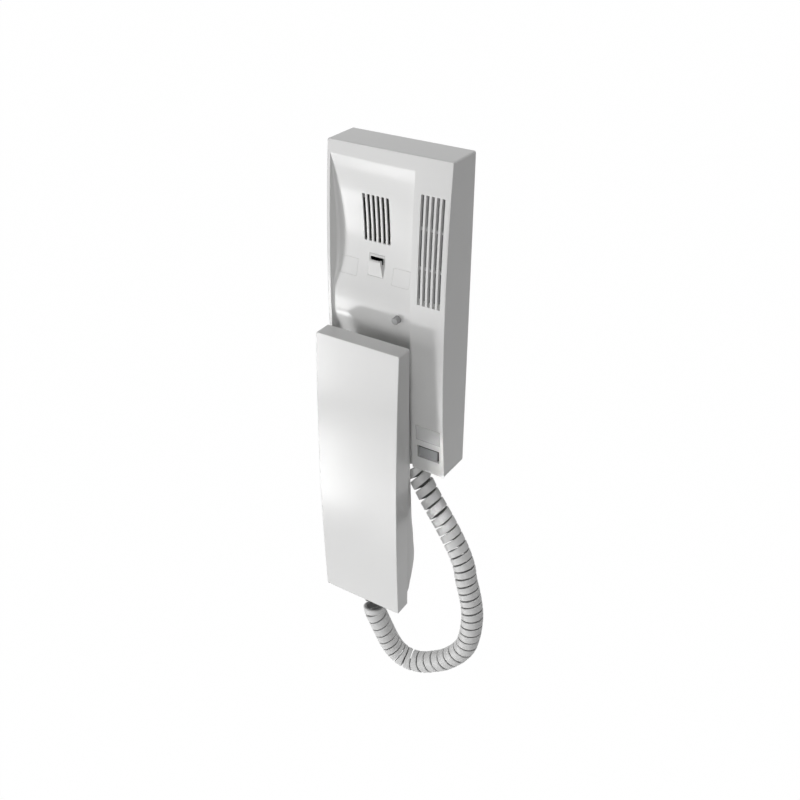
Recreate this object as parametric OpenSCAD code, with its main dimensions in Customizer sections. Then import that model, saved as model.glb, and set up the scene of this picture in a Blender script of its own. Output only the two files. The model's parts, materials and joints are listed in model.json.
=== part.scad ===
// Slimline wall phone: a flat housing with a scooped cradle, a slim handset and the curly cord between them.
// Millimetres. The origin is the middle of the housing's back, on the wall.
// +X is to the right, +Y goes into the wall and +Z is up, so a height over the wall is -Y.
// The handset is drawn taken off, low in front of the housing. Hanging it up slides it by -OFF_HOOK.

/* [Housing] */
// Width of the housing
housing_w = 86; // [80:1:104]
// Height of the housing
housing_h = 215; // [200:1:260]
// Depth along the housing's top and bottom edges
side_depth = 25.4; // [25:0.1:31]
// How far the bowed front stands out at mid height
crown = 5.2; // [4:0.1:7]
// Depth of the rear base, up to the parting line
base_depth = 12.7; // [12:0.1:15.5]
// Wall of both shells
shell_wall = 2.2; // [1.8:0.1:2.7]
// Plate of the rear base, on the wall
base_plate = 2.4; // [2:0.1:3]
// Radius of the housing's corners, seen from the front
corner_r = 1.2; // [0.6:0.1:3]

/* [Cradle] */
// Rim to the left of the cradle
left_rim = 2.3; // [1.8:0.1:3]
// Strip to the right of the cradle
strip_w = 24.5; // [24:0.1:27]
// Front face above the cradle
top_margin = 8; // [6:0.5:14]
// Height of the ridge's crest over the housing's middle
ridge_z = 3.4; // [-4:0.2:8]
// Thickness of the cradle's floor
floor_skin = 2; // [1.6:0.1:2.4]
// Radius between floor and side wall, as a share of the cradle's depth
cove_share = 0.26; // [0.1:0.01:0.4]

/* [Sound slits] */
// Slits over the loudspeaker
floor_slits = 6; // [4:1:7]
// Width of one slit over the loudspeaker
floor_slit_w = 1.9; // [1:0.1:2]
// Distance from slit to slit over the loudspeaker
floor_slit_pitch = 3.4; // [2.8:0.1:3.8]
// Length of the slits over the loudspeaker
floor_slit_h = 30.2; // [24:0.2:31]
// Slits in the strip
strip_slits = 5; // [3:1:5]
// Width of one slit in the strip
strip_slit_w = 1.9; // [1.2:0.1:2.2]
// Distance from slit to slit in the strip
strip_slit_pitch = 3.5; // [3:0.1:3.6]
// Length of the slits in the strip
strip_slit_h = 68.4; // [50:0.2:80]
// Distance from the housing's top to the strip's slits
strip_slit_top = 21.5; // [18:0.5:30]

/* [Key and label] */
// Width of the door key's window
key_window_w = 16.8; // [14:0.1:17.4]
// Height of the door key's window
key_window_h = 9.8; // [8:0.1:11]
// How deep the door key lies in its window
key_recess = 1.2; // [0.6:0.1:1.6]
// Width of the name label
label_w = 18.5; // [14:0.1:19]
// Height of the name label
label_h = 11.7; // [8:0.1:13]

/* [Handset] */
// Width of the handset
handset_w = 62; // [54:1:66]
// Height of the handset
handset_h = 210; // [170:1:250]
// Thickness of the handset's front shell along its edge
handset_edge = 12.4; // [11.5:0.1:15]
// How far the handset's front is bowed
handset_bow = 3; // [2:0.1:5]
// Wall of the handset's shells
handset_wall = 2.2; // [1.8:0.1:2.6]
// Step from the front shell's edge in to the back shell
back_inset = 3.4; // [3:0.1:4]
// Wall of the back shell
back_wall = 1.8; // [1.5:0.1:2.2]

/* [Moving pieces] */
// How far the hook plunger is pressed in by the hung handset
plunger_travel = 4; // [3:0.1:4.2]
// How far the hook plunger stands over the cradle's ridge
plunger_proud = 4; // [3.4:0.1:4.4]
// Radius of the hook plunger's head
plunger_r = 2.35; // [2:0.05:2.5]
// Clearance round a piece that slides
slide_gap = 0.3; // [0.2:0.05:0.4]

/* [Curly cord] */
// Radius from the coil's middle to the middle of the cord
coil_r = 6.6; // [5.6:0.05:7]
// Width of the flattened cord, along the coil
cord_w = 4.1; // [3.4:0.1:4.4]
// Thickness of the flattened cord
cord_t = 2.3; // [1.8:0.1:2.6]
// Turns to the right (1) or to the left (-1)
cord_hand = 1; // [-1:2:1]

/* [Hidden] */
$fn = 48;

// Clearances
fit = 0.15;      // between shells that are pushed together
touch = 0.05;    // between faces that bear on each other

// Housing
half_w = housing_w / 2;
half_h = housing_h / 2;
front_r = (half_h * half_h + crown * crown) / (2 * crown);
front_axis = front_r - side_depth - crown;
full_depth = side_depth + crown;
inner_w = housing_w - 2 * shell_wall;
inner_h = housing_h - 2 * shell_wall;
lip_t = 1.2;
lip_rise = 2;

// Cradle, which is open at the bottom
cradle_x0 = left_rim - half_w;
cradle_x1 = half_w - strip_w;
cradle_x = (cradle_x0 + cradle_x1) / 2;
cradle_top = half_h - top_margin;
upper_run = cradle_top - ridge_z;
lower_run = half_h + ridge_z;
run_out = 0.12;      // the floor runs out through the front face at the top
// Height of the cradle's floor over side_depth, from the bottom (-1) over the ridge (0) to the top (1)
FLOOR = [
    [-1, -2.8], [-0.57, -4.4], [-0.3, -2.4], [-0.17, 0.1], [-0.08, 2.8], [0, 3.2], [0.09, 2.7], [0.17, 0.2],
    [0.25, -2.2], [0.33, -3.6], [0.49, -4.3], [0.73, -2.8], [0.9, -0.8],
    [1, front_h(cradle_top) - side_depth + run_out]
];
floor_lowest = side_depth - 4.4;
cove_steps = 3;
floor_step = 4.6;

// Hook and the two faint squares beside it
hook_z = ridge_z + 0.298 * upper_run;
hook_window_w = 11.2;
hook_window_h = 14;
hook_ramp_h = 10.9;
hook_lip_w = 7.9;
hook_proud = 2.9;
hook_skin = 1.2;
throat_share = 0.45;
hook_mouth_w = 9.6;
hook_mouth_h = 1;
pad_w = 12.4;
pad_h = 13;
pad_x = [-19.9, 18.5];
pad_drop = 3;
groove = 0.25;

// Hook plunger
plunger_x = cradle_x + 19.5;
plunger_z = ridge_z - 0.6;
plunger_tip = side_depth + 3.2 + plunger_proud;
collar_r = plunger_r + 0.9;
collar_t = 1;
collar_h = side_depth + 3.2 - floor_skin - 0.5;
guide_wall = 1.6;

// Strip
strip_x = half_w - 11.7;
strip_slit_z = half_h - strip_slit_top - strip_slit_h / 2;
label_z = 31.1 - half_h;
label_depth = 1.6;
card_t = 0.4;
key_z = 15.9 - half_h;
key_w = key_window_w - 2 * slide_gap;
key_h = key_window_h - 2 * slide_gap;
key_front = front_h(key_z) - key_recess;
flange_edge = 1;
flange_t = 1.2;
flange_h = front_h(key_z - key_window_h / 2 - flange_edge) - shell_wall - 0.2;
screen_t = 1.2;
screen_gap = 1.4;
screen_ribs = [13.2, -11.3];
screen_rib_t = 1.6;

// Board and what stands on it
board_x0 = 0;
board_x1 = half_w - 4.4;
board_z0 = 7.5 - half_h;
board_z1 = ridge_z + 24.6;
board_back = 7;
board_t = 1.6;
board_front = board_back + board_t;
BOARD_HOLES = [
    [board_x0 + 4, board_z1 - 4], [board_x1 - 4.6, board_z1 - 4],
    [board_x0 + 4, board_z0 + 6], [board_x1 - 2.6, board_z0 + 24]
];
board_screw_r = 1;
board_head_r = 2.2;
post_r = 2.6;
switch_w = 6.4;
switch_top = board_front + 6;
switch_pin_r = 1.3;
switch_bore_r = 1.6;
pin_entry = 0.4;
spring_r = 2.2;
wire_t = 0.5;
terminals = 5;
terminal_pitch = 5;
terminal_x = board_x0 + 1.5;
terminal_d = 8;
terminal_t = 10;
terminal_z = -53.5;

// Loudspeaker
speaker_r = 18;
speaker_x = cradle_x;
speaker_z = ridge_z + 0.61 * upper_run;
speaker_seat = floor_lowest - floor_skin - 0.4;
gasket_t = 0.8;
rim_t = 2.5;
ring_wall = 2.4;
speaker_back = speaker_seat - gasket_t - rim_t;
washer_r = 4;
slit_skin = 1;        // cradle floor over the loudspeaker
speaker_boss_x = speaker_r + 3.3;
speaker_boss_r = 3;

// Wall fixing
wall_hole_x = -12;
wall_hole_z = half_h - 24.5;
wall_hole_r = 2.1;
entry_x = -20;
entry_z = -48;
entry_r = 9;

// Cover screw, driven up from below into a lug of the base
cover_screw_x = -20;
cover_screw_h = 16.2;
cover_screw_r = 1.5;
cover_head_r = 2.6;
lug_w = 8;
notch_x = 28;
lug_front = floor_lowest - floor_skin + 0.2;

// Handset, in its own place: the middle of its back edge plane, with the bulge towards +Y
OFF_HOOK = [5.6, -1.7, -113.3];
handset_x = -12.26;
handset_y = -(side_depth + 12.6);
h_half_w = handset_w / 2;
h_half_h = handset_h / 2;
bow_r = (h_half_h * h_half_h + handset_bow * handset_bow) / (2 * handset_bow);
bow_axis = bow_r - handset_edge - handset_bow;
ledge_depth = 3;
ledge_t = 1.6;
ledge_w = 1.2;
lid_w = handset_w - 2 * back_inset;
lid_h = handset_h - 2 * back_inset;
// Height of the back shell over the back edge plane, from the lower end (-1) to the upper (1)
BACK = [
    [-1, 0.4], [-0.97, 6.9], [-0.9, 10.1], [-0.82, 12.8], [-0.74, 14.8], [-0.65, 15.1], [-0.55, 13.9],
    [-0.46, 13.1], [-0.36, 11.5], [-0.18, 10.3], [0.12, 8.3], [0.32, 7.4], [0.63, 6.5], [0.82, 6],
    [0.94, 4.8], [0.98, 3.2], [1, 0.4]
];
back_step = 6;
back_round = 1.8;
round_steps = 3;
ear_z = h_half_h - 27;
ear_r = 14.5;
ear_seat = 3.2;
ear_t = 8;
mic_z = BACK[5][0] * lid_h / 2;
mic_r = 4.8;
mic_t = 4.5;
boot_wall = 1.6;
mic_seat = 12;
H_SCREWS = [h_half_h - 53, 17 - h_half_h];
h_screw_r = 1.2;
h_head_r = 2.4;
h_head_seat = 1.5;
slot_x = cradle_x - handset_x;
slot_z = hook_z + 3.4;
slot_w = 13;
slot_h = 9;
slot_depth = 5;

// Cord: middle of the coil, x, y, z and the distance from curl to curl there
COIL = [
    [10.8, -12.7, -109.5, 7.6], [10.8, -12.7, -111.2, 7.6], [10.8, -12.7, -113, 7.7], [12.2, -12.8, -117, 7.9],
    [15.4, -13.1, -121.6, 7.9], [20.5, -14, -127.6, 7.9], [25.6, -15.2, -133.8, 7.8], [30.8, -16.4, -139.6, 7.5],
    [36, -17.6, -145, 7.1],
    [45.6, -19.4, -156.2, 6.2], [54, -21.4, -167, 5.7], [60, -23.2, -177.5, 5.5],
    [63.2, -25, -187, 5.4], [66.4, -26, -196, 5.4], [69, -27, -204, 5.4], [71.2, -28.5, -213, 5.6],
    [71.8, -30, -223, 5.8], [71, -31, -233, 6.2], [68.6, -32, -243, 6.6], [62.8, -33.5, -252.6, 6.9],
    [54.5, -35, -261.4, 7], [46, -36, -267.4, 7], [38, -37, -271.8, 7], [30, -38, -273.8, 7],
    [22.4, -39.5, -272.4, 7], [15.8, -41, -267.5, 7], [10.6, -42.5, -259, 6.9], [6.6, -43.8, -248.8, 6.9],
    [2.8, -45, -238.8, 6.9], [-0.06, -46, -230.2, 6.6], [-0.06, -46, -225.4, 6], [-0.06, -46, -220.8, 5.6]
];
cord_round = 3.7;    // thickness of the cord at its ends, before it is flattened
cord_straight = 3.8;
curl_rings = 8;
set_in = 6;          // rings over which the winding sets in
spline_steps = 10;
nose = 2.5;

// Colours
WHITE = [0.9, 0.9, 0.89];
GREY = [0.55, 0.55, 0.55];
DARK = [0.25, 0.25, 0.26];
STEEL = [0.72, 0.72, 0.74];
GREEN = [0.16, 0.36, 0.24];
CREAM = [0.93, 0.92, 0.86];
CLEAR = [0.85, 0.9, 0.92, 0.5];

// ---- Curves

// A smooth curve through [place, value] pairs
function slope_at(p, i) = let(
    a = max(i - 1, 0),
    b = min(i + 1, len(p) - 1)
) (p[b][1] - p[a][1]) / (p[b][0] - p[a][0]);
function span_of(p, x, i = 0) = i >= len(p) - 2 || x <= p[i + 1][0] ? i : span_of(p, x, i + 1);
function curve(p, x) = let(
    i = span_of(p, x),
    run = p[i + 1][0] - p[i][0],
    t = (x - p[i][0]) / run,
    a = p[i][1],
    b = p[i + 1][1],
    ma = slope_at(p, i) * run,
    mb = slope_at(p, i + 1) * run
) a + t * (ma + t * (3 * (b - a) - 2 * ma - mb + t * (2 * (a - b) + ma + mb)));

function unit(v) = v / norm(v);

// Heights over the wall
function front_h(z) = sqrt(front_r * front_r - z * z) - front_axis;
function floor_share(z) = z >= ridge_z ? (z - ridge_z) / upper_run : (z - ridge_z) / lower_run;
function floor_h(z) = side_depth + curve(FLOOR, max(-1, min(1, floor_share(z))));
function cove_at(z) = max(0.05, cove_share * (front_h(z) - floor_h(z)));

// Height of the handset's back shell
function back_h(z) = curve(BACK, max(-1, min(1, z / (lid_h / 2))));

// ---- Shared shapes

// A skin through equal rings of points, closed at both ends
module loft(rings) {
    n = len(rings[0]);
    last = len(rings) - 1;
    sides = [
        for (k = [0:last - 1], i = [0:n - 1], half = [0, 1])
            let(a = k * n + i, b = k * n + (i + 1) % n)
            half == 0 ? [a, b, b + n] : [a, b + n, a + n]
    ];
    ends = concat(
        [for (i = [1:n - 2]) [0, i + 1, i]],
        [for (i = [1:n - 2]) [last * n, last * n + i, last * n + i + 1]]
    );
    polyhedron([for (r = rings, p = r) p], concat(sides, ends), convexity = 8);
}

// A plate in the XZ plane, between two heights over the wall
module between(h0, h1) {
    translate([0, -h0, 0]) rotate([90, 0, 0]) linear_extrude(h1 - h0) children();
}

module rounded(w, h, r) {
    square([w - 2 * r, h], center = true);
    square([w, h - 2 * r], center = true);
    for (x = [-1, 1], y = [-1, 1]) translate([x * (w / 2 - r), y * (h / 2 - r)]) circle(r);
}

module block(x, z, w, h, h0, h1) {
    between(h0, h1) translate([x, z]) square([w, h], center = true);
}

module rod(x, z, r, h0, h1) {
    translate([x, -h0, z]) rotate([90, 0, 0]) cylinder(r = r, h = h1 - h0);
}

// A turned piece: the outline holds [radius, height over the wall] pairs
module turned(x, z, outline) {
    translate([x, 0, z]) rotate([90, 0, 0]) rotate_extrude() polygon(outline);
}

module pan_screw(x, z, r, head_r, head_t, seat, tip) {
    turned(x, z, [
        [0, tip], [r * 0.6, tip], [r, tip + r], [r, seat], [head_r, seat],
        [head_r, seat + head_t * 0.6], [head_r * 0.7, seat + head_t], [0, seat + head_t]
    ]);
}

// A wire wound along the height, from h0 to h1
module spring(x, z, r, wire, turns, h0, h1) {
    rings = turns * curl_rings;
    rise = (h1 - h0 - wire) / rings;
    loft([
        for (k = [0:rings])
            let(a = 360 * k / curl_rings, out = [cos(a), sin(a)])
            [for (i = [0:5]) let(q = wire / 2 * cos(60 * i), u = wire / 2 * sin(60 * i))
                [x + (r + q) * out[0], -(h0 + wire / 2 + k * rise + u), z + (r + q) * out[1]]]
    ]);
}

// ---- Housing

// The bowed outline of the housing, drawn in by a wall
module envelope(inset, h0) {
    intersection() {
        between(h0, full_depth + 1)
            rounded(housing_w - 2 * inset, housing_h - 2 * inset, max(corner_r - inset, 0.4));
        translate([0, front_axis, 0])
            rotate([0, 90, 0]) cylinder(r = front_r - inset, h = housing_w, center = true, $fn = 1440);
    }
}

function cradle_ring(z, grow) = let(
    h = floor_h(z) - grow,
    c = cove_at(z) + grow,
    x0 = cradle_x0 - grow,
    x1 = cradle_x1 + grow,
    top = full_depth + 1
) concat(
    [[x0, -top, z]],
    [for (i = [0:cove_steps]) let(a = 90 * i / cove_steps) [x0 + c - c * cos(a), -(h + c - c * sin(a)), z]],
    [for (i = [cove_steps:-1:0]) let(a = 90 * i / cove_steps) [x1 - c + c * cos(a), -(h + c - c * sin(a)), z]],
    [[x1, -top, z]]
);

// The room over the cradle's floor, grown by a wall
module cradle_room(grow, z0 = -half_h - 2, z1 = cradle_top) {
    steps = ceil((z1 - z0) / floor_step);
    loft([for (k = [0:steps]) cradle_ring(z0 + (z1 - z0) * k / steps, grow)]);
}

module outline_ring(x, z, w, h) {
    between(floor_lowest - 1, full_depth) translate([x, z]) difference() {
        square([w, h], center = true);
        square([w - 2 * groove, h - 2 * groove], center = true);
    }
}

module rear_base() {
    lip_out = shell_wall + fit;
    color(WHITE) difference() {
        union() {
            difference() {
                between(0, base_depth) rounded(housing_w, housing_h, corner_r);
                between(base_plate, base_depth + 1) square([inner_w, inner_h], center = true);
            }
            // Lip inside the cover, carried by a thicker wall below the parting line
            difference() {
                union() {
                    between(base_plate, base_depth) square([inner_w, inner_h], center = true);
                    between(base_depth - 1, base_depth + lip_rise)
                        square([housing_w - 2 * lip_out, housing_h - 2 * lip_out], center = true);
                }
                between(base_plate, base_depth + lip_rise + 1)
                    square([housing_w - 2 * (lip_out + lip_t), housing_h - 2 * (lip_out + lip_t)], center = true);
            }
            // Hooks that the cover is hung on
            for (x = [-22, 22]) {
                block(x, half_h - lip_out - lip_t / 2, 9, lip_t, base_depth - 1, base_depth + 5.6);
                block(x, half_h - lip_out + 0.5, 9, 1.4, base_depth + 3.8, base_depth + 5.6);
            }
            for (p = BOARD_HOLES) rod(p[0], p[1], post_r, base_plate - 1, board_back);
            for (z = [-wall_hole_z, wall_hole_z]) rod(wall_hole_x, z, 5.5, base_plate - 1, base_plate + 1);
            rod(entry_x, entry_z, entry_r + 1.4, base_plate - 1, base_plate + 1.6);
            // Lug for the cover screw
            block(cover_screw_x, -half_h + lip_out + lip_t + lug_w / 2 - 0.6, lug_w, lug_w,
                base_plate - 1, lug_front);
            // Stiffening ribs of the plate
            for (x = [-33, -4.5]) block(x, -4, 1.4, 140, base_plate - 1, base_plate + 2.4);
            for (z = [36, -22, -76]) block(-18.75, z, 28, 1.4, base_plate - 1, base_plate + 2.4);
        }
        for (p = BOARD_HOLES) rod(p[0], p[1], board_screw_r + fit, base_plate, board_back + 1);
        for (z = [-wall_hole_z, wall_hole_z]) rod(wall_hole_x, z, wall_hole_r, -1, base_plate + 3);
        rod(entry_x, entry_z, entry_r, -1, base_plate + 3);
        translate([cover_screw_x, -cover_screw_h, -half_h]) cylinder(r = cover_screw_r + fit, h = 14);
        translate([gland_x, -base_depth, -half_h - 1]) cylinder(r = grommet_neck_r + fit, h = 6);
        block(gland_x, -half_h + lip_out + lip_t / 2, 11, lip_t + 1.6,
            base_depth - 5.4, base_depth + lip_rise + 1);
        // Finger-nail notch at the bottom
        block(notch_x, -half_h, 12, 1.6, base_depth - 1, base_depth + 1);
    }
}

module speaker_ring() {
    // Seat and wall round the loudspeaker, and its two screw bosses
    rod(speaker_x, speaker_z, speaker_r + ring_wall, speaker_back, side_depth);
    for (s = [-1, 1]) rod(speaker_x + s * speaker_boss_x, speaker_z, speaker_boss_r, speaker_back, side_depth);
}

module front_cover() {
    key_sleeve = flange_edge + slide_gap;
    color(WHITE) difference() {
        intersection() {
            envelope(0, base_depth);
            union() {
                difference() {
                    between(base_depth, full_depth + 1) square([housing_w, housing_h], center = true);
                    envelope(shell_wall, base_depth - 1);
                }
                cradle_room(floor_skin);
                speaker_ring();
                rod(plunger_x, plunger_z, collar_r + slide_gap + guide_wall, switch_top + 1, collar_h + 1);
                block(strip_x, key_z, key_window_w + 2 * (key_sleeve + 1.2), key_window_h + 2 * (key_sleeve + 1.2),
                    flange_h - 4, flange_h + 2);
                block(strip_x, label_z, label_w + 2.4, label_h + 2.4, side_depth - 2.4, side_depth + 1);
            }
        }
        cradle_room(0);
        // Pockets that the base's hooks go into
        for (x = [-22, 22]) block(x, half_h - shell_wall + 0.4, 9.6, 1.6, base_depth + 3.5, base_depth + 5.9);
        // Loudspeaker: opening, seat and screw holes
        rod(speaker_x, speaker_z, speaker_r + fit, speaker_back - 1, speaker_seat);
        difference() {
            rod(speaker_x, speaker_z, speaker_r - 2.6, speaker_back - 1, side_depth);
            cradle_room(slit_skin, speaker_z - speaker_r, speaker_z + speaker_r);
        }
        for (s = [-1, 1])
            rod(speaker_x + s * speaker_boss_x, speaker_z, 1 + fit, speaker_back - 1, speaker_back + 3);
        for (i = [0:floor_slits - 1])
            block(speaker_x + (i - (floor_slits - 1) / 2) * floor_slit_pitch, speaker_z,
                floor_slit_w, floor_slit_h, speaker_seat, full_depth + 1);
        // Hook window and the two faint squares
        block(cradle_x, hook_z, hook_window_w, hook_window_h, floor_lowest - 6, full_depth + 1);
        intersection() {
            cradle_room(groove, hook_z - pad_drop - pad_h / 2 - 2, hook_z - pad_drop + pad_h / 2 + 2);
            for (x = pad_x) outline_ring(cradle_x + x, hook_z - pad_drop, pad_w, pad_h);
        }
        // Plunger: bore through the ridge and the wider guide for its collar
        rod(plunger_x, plunger_z, plunger_r + slide_gap / 2, switch_top, full_depth + 1);
        rod(plunger_x, plunger_z, collar_r + slide_gap, switch_top, collar_h + touch);
        // Strip
        for (i = [0:strip_slits - 1])
            block(strip_x + (i - (strip_slits - 1) / 2) * strip_slit_pitch, strip_slit_z,
                strip_slit_w, strip_slit_h, side_depth - 8, full_depth + 1);
        difference() {
            block(strip_x, label_z, label_w, label_h, side_depth, full_depth + 1);
            front_drum(label_depth);
        }
        block(strip_x, key_z, key_window_w, key_window_h, flange_h - 5, full_depth + 1);
        block(strip_x, key_z, key_window_w + 2 * key_sleeve, key_window_h + 2 * key_sleeve,
            flange_h - 5, flange_h + touch);
        // Cover screw and cord
        translate([cover_screw_x, -cover_screw_h, -half_h - 1]) cylinder(r = cover_screw_r + fit, h = 6);
        translate([cover_screw_x, -cover_screw_h, -half_h - 1]) cylinder(r = cover_head_r + fit, h = 2);
        translate([gland_x, -base_depth, -half_h - 1]) cylinder(r = grommet_neck_r + fit, h = 6);
    }
}

// The front's drum, a depth below the front face
module front_drum(depth) {
    translate([0, front_axis, 0])
        rotate([0, 90, 0]) cylinder(r = front_r - depth, h = 2 * housing_w, center = true, $fn = 1440);
}

module cradle_hook() {
    w = hook_window_w - 2 * fit;
    z0 = hook_z - hook_window_h / 2 + fit;
    z1 = z0 + hook_ramp_h;
    foot = floor_h(z0);
    tip = floor_h(z1) + hook_proud;
    back = floor_lowest - floor_skin - 2;
    throat_w = hook_lip_w - 2 * hook_skin;
    throat_z = z0 + hook_ramp_h * throat_share;
    throat_h = foot + (tip - foot) * throat_share - hook_skin;
    color(WHITE) difference() {
        union() {
            // Ramp that stands out of the window, narrower towards its lip
            intersection() {
                translate([cradle_x - w / 2, 0, 0]) rotate([90, 0, 90]) linear_extrude(w) polygon([
                    [-back, z0], [-foot, z0], [-tip, z1 - 0.9], [-tip + 0.6, z1], [-back, z1]
                ]);
                between(back - 1, tip + 1) translate([cradle_x, 0]) polygon([
                    [-w / 2, z0], [w / 2, z0], [hook_lip_w / 2, z1], [-hook_lip_w / 2, z1]
                ]);
            }
            // Plate that fills the window, and its frame behind the floor
            difference() {
                union() {
                    block(cradle_x, hook_z, w, hook_window_h - 2 * fit, back, side_depth);
                    block(cradle_x, hook_z, hook_window_w + 4, hook_window_h + 4,
                        back - 0.6, floor_lowest - floor_skin);
                }
                cradle_room(touch, hook_z - hook_window_h, hook_z + hook_window_h);
            }
        }
        // Mouth under the lip
        translate([cradle_x - throat_w / 2, 0, 0]) rotate([90, 0, 90]) linear_extrude(throat_w) polygon([
            [-back + 1, throat_z], [-throat_h, throat_z], [-tip + hook_skin, z1 + 0.1], [-back + 1, z1 + 0.1]
        ]);
        block(cradle_x, z1 + hook_mouth_h / 2, hook_mouth_w, hook_mouth_h, back - 1, side_depth);
    }
}

module speaker_gasket() {
    color(DARK) difference() {
        rod(speaker_x, speaker_z, speaker_r - touch, speaker_seat - gasket_t, speaker_seat - touch);
        rod(speaker_x, speaker_z, speaker_r - 2.6, speaker_seat - 2, speaker_seat + 1);
    }
}

module speaker() {
    front = speaker_seat - gasket_t - touch;
    color(DARK) turned(speaker_x, speaker_z, [
        [0, 8.3], [11, 8.3], [11, 11.4], [14.5, speaker_back - 0.6], [speaker_r - 1.6, speaker_back],
        [speaker_r - fit, speaker_back],
        [speaker_r - fit, front], [speaker_r - 2.4, front], [speaker_r - 3.4, front - 0.9],
        [speaker_r - 5, front - 0.3], [5, front - 3.6], [3.4, front - 2.6], [0, front - 2]
    ]);
}

module speaker_screws() {
    color(STEEL) for (s = [-1, 1]) mirror([0, 1, 0]) translate([0, 2 * speaker_back - touch, 0])
        pan_screw(speaker_x + s * speaker_boss_x, speaker_z, 1, washer_r, 1.2, speaker_back, speaker_back - 2.8);
}

module slit_screen() {
    x0 = strip_x - strip_slits * strip_slit_pitch / 2 - 0.6;
    x1 = half_w - shell_wall - fit;
    x = (x0 + x1) / 2;
    w = x1 - x0;
    h = strip_slit_h + 5;
    depth = shell_wall + screen_gap;
    color(GREY) union() {
        difference() {
            intersection() {
                block(x, strip_slit_z, w, h, side_depth - 8, full_depth);
                front_drum(depth);
            }
            front_drum(depth + screen_t);
        }
        // Frame and two cross ribs that reach the strip's inner face
        difference() {
            intersection() {
                union() {
                    for (z = screen_ribs)
                        block(x, strip_slit_z + z, w, screen_rib_t, side_depth - 8, full_depth);
                    for (s = [-1, 1])
                        block(x, strip_slit_z + s * (h - screen_rib_t) / 2, w, screen_rib_t, side_depth - 8, full_depth);
                }
                front_drum(shell_wall + touch);
            }
            front_drum(depth + 0.4);
        }
    }
}

module circuit_board() {
    color(GREEN) difference() {
        between(board_back + touch, board_front) translate([board_x0, board_z0])
            square([board_x1 - board_x0, board_z1 - board_z0]);
        for (p = BOARD_HOLES) rod(p[0], p[1], board_screw_r + 2 * fit, board_back - 1, board_front + 1);
        rod(board_x1 - 11, board_z1 - 24, 1.6, board_back - 1, board_front + 1);
    }
}

module board_screws() {
    color(STEEL) for (p = BOARD_HOLES)
        pan_screw(p[0], p[1], board_screw_r, board_head_r, 1.7, board_front + touch, base_plate + 0.8);
}

// A small switch with a hole for the pin that works it
module pin_switch(x, z) {
    color(DARK) difference() {
        union() {
            block(x, z, switch_w, switch_w, board_front + touch, switch_top - 1.6);
            rod(x, z, switch_w / 2 - 0.2, switch_top - 1.7, switch_top);
        }
        rod(x, z, switch_bore_r, board_front + 1, switch_top + 1);
    }
}

module hook_switch() pin_switch(plunger_x, plunger_z);

module button_switch() pin_switch(strip_x, key_z);

module plunger_spring() {
    color(STEEL)
        spring(plunger_x, plunger_z, spring_r, wire_t, 7, switch_top + touch, collar_h - collar_t - touch);
}

module button_spring() {
    color(STEEL) spring(strip_x, key_z, spring_r, wire_t, 5, switch_top + touch, flange_h - flange_t - touch);
}

module terminal_block() {
    x1 = terminal_x + terminal_d;
    long = terminals * terminal_pitch;
    z0 = terminal_z - long / 2;
    top = board_front + terminal_t;
    color(GREY) difference() {
        translate([0, 0, z0]) linear_extrude(long) polygon([
            [terminal_x, -board_front - touch], [terminal_x, -top + 3], [terminal_x + 1.6, -top],
            [x1, -top], [x1, -board_front - touch]
        ]);
        for (i = [0:terminals - 1]) {
            z = z0 + (i + 0.5) * terminal_pitch;
            translate([terminal_x - 1, -board_front - 3, z]) rotate([0, 90, 0]) cylinder(r = 1.3, h = 5);
            rod(terminal_x + 4.6, z, 1.9, top - 3.4, top + 1);
        }
    }
}

module terminal_screws() {
    top = board_front + terminal_t;
    z0 = terminal_z - terminals * terminal_pitch / 2;
    color(STEEL) for (i = [0:terminals - 1]) {
        z = z0 + (i + 0.5) * terminal_pitch;
        difference() {
            rod(terminal_x + 4.6, z, 1.7, top - 3.4 + touch, top - 1);
            block(terminal_x + 4.6, z, 4, 0.5, top - 1.7, top);
        }
    }
}

module cord_connector() {
    color(CREAM) difference() {
        block(18, board_z0 + 6.5, 11, 7, board_front + touch, board_front + 6);
        block(18, board_z0 + 5, 9, 8, board_front + 1.2, board_front + 4.8);
    }
}

// A flat piece that follows the bowed front, between two depths below it
module label_piece(gap, d0, d1) {
    difference() {
        intersection() {
            block(strip_x, label_z, label_w - 2 * gap, label_h - 2 * gap, side_depth - 4, full_depth + 1);
            front_drum(d0);
        }
        front_drum(d1);
    }
}

module name_card() {
    color(CREAM) label_piece(0.4, label_depth - card_t, label_depth - touch);
}

module name_window() {
    color(CLEAR) label_piece(fit, 0.1, label_depth - card_t - touch);
}

// Where the cord meets the housing, on the parting line
gland_x = COIL[0][0] - coil_r;
grommet_neck_r = 3.4;
grommet_r = 4.8;
grommet_nose = 2;

module cord_grommet() {
    inner = shell_wall + 1.4;
    color(WHITE) translate([gland_x, -base_depth, -half_h]) difference() {
        rotate_extrude() polygon([
            [0, inner], [grommet_r - 0.4, inner], [grommet_r - 0.4, shell_wall + touch],
            [grommet_neck_r, shell_wall + touch], [grommet_neck_r, -touch], [grommet_r, -touch],
            [grommet_r, -1], [3, -grommet_nose], [0, -grommet_nose]
        ]);
        translate([0, 0, 0.5]) cylinder(r = 1.6, h = inner);
    }
}

module cover_screw() {
    color(STEEL) translate([cover_screw_x, -cover_screw_h, -half_h]) difference() {
        rotate_extrude() polygon([
            [0, 12], [0.8, 12], [cover_screw_r, 11], [cover_screw_r, 1 - touch], [cover_head_r, 1 - touch],
            [cover_head_r, 0.2], [1.9, -0.5], [0, -0.5]
        ]);
        for (a = [0, 90]) rotate([0, 0, a]) cube([2.6, 0.6, 1.8], center = true);
    }
}

// ---- Pieces that move in the housing

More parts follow.
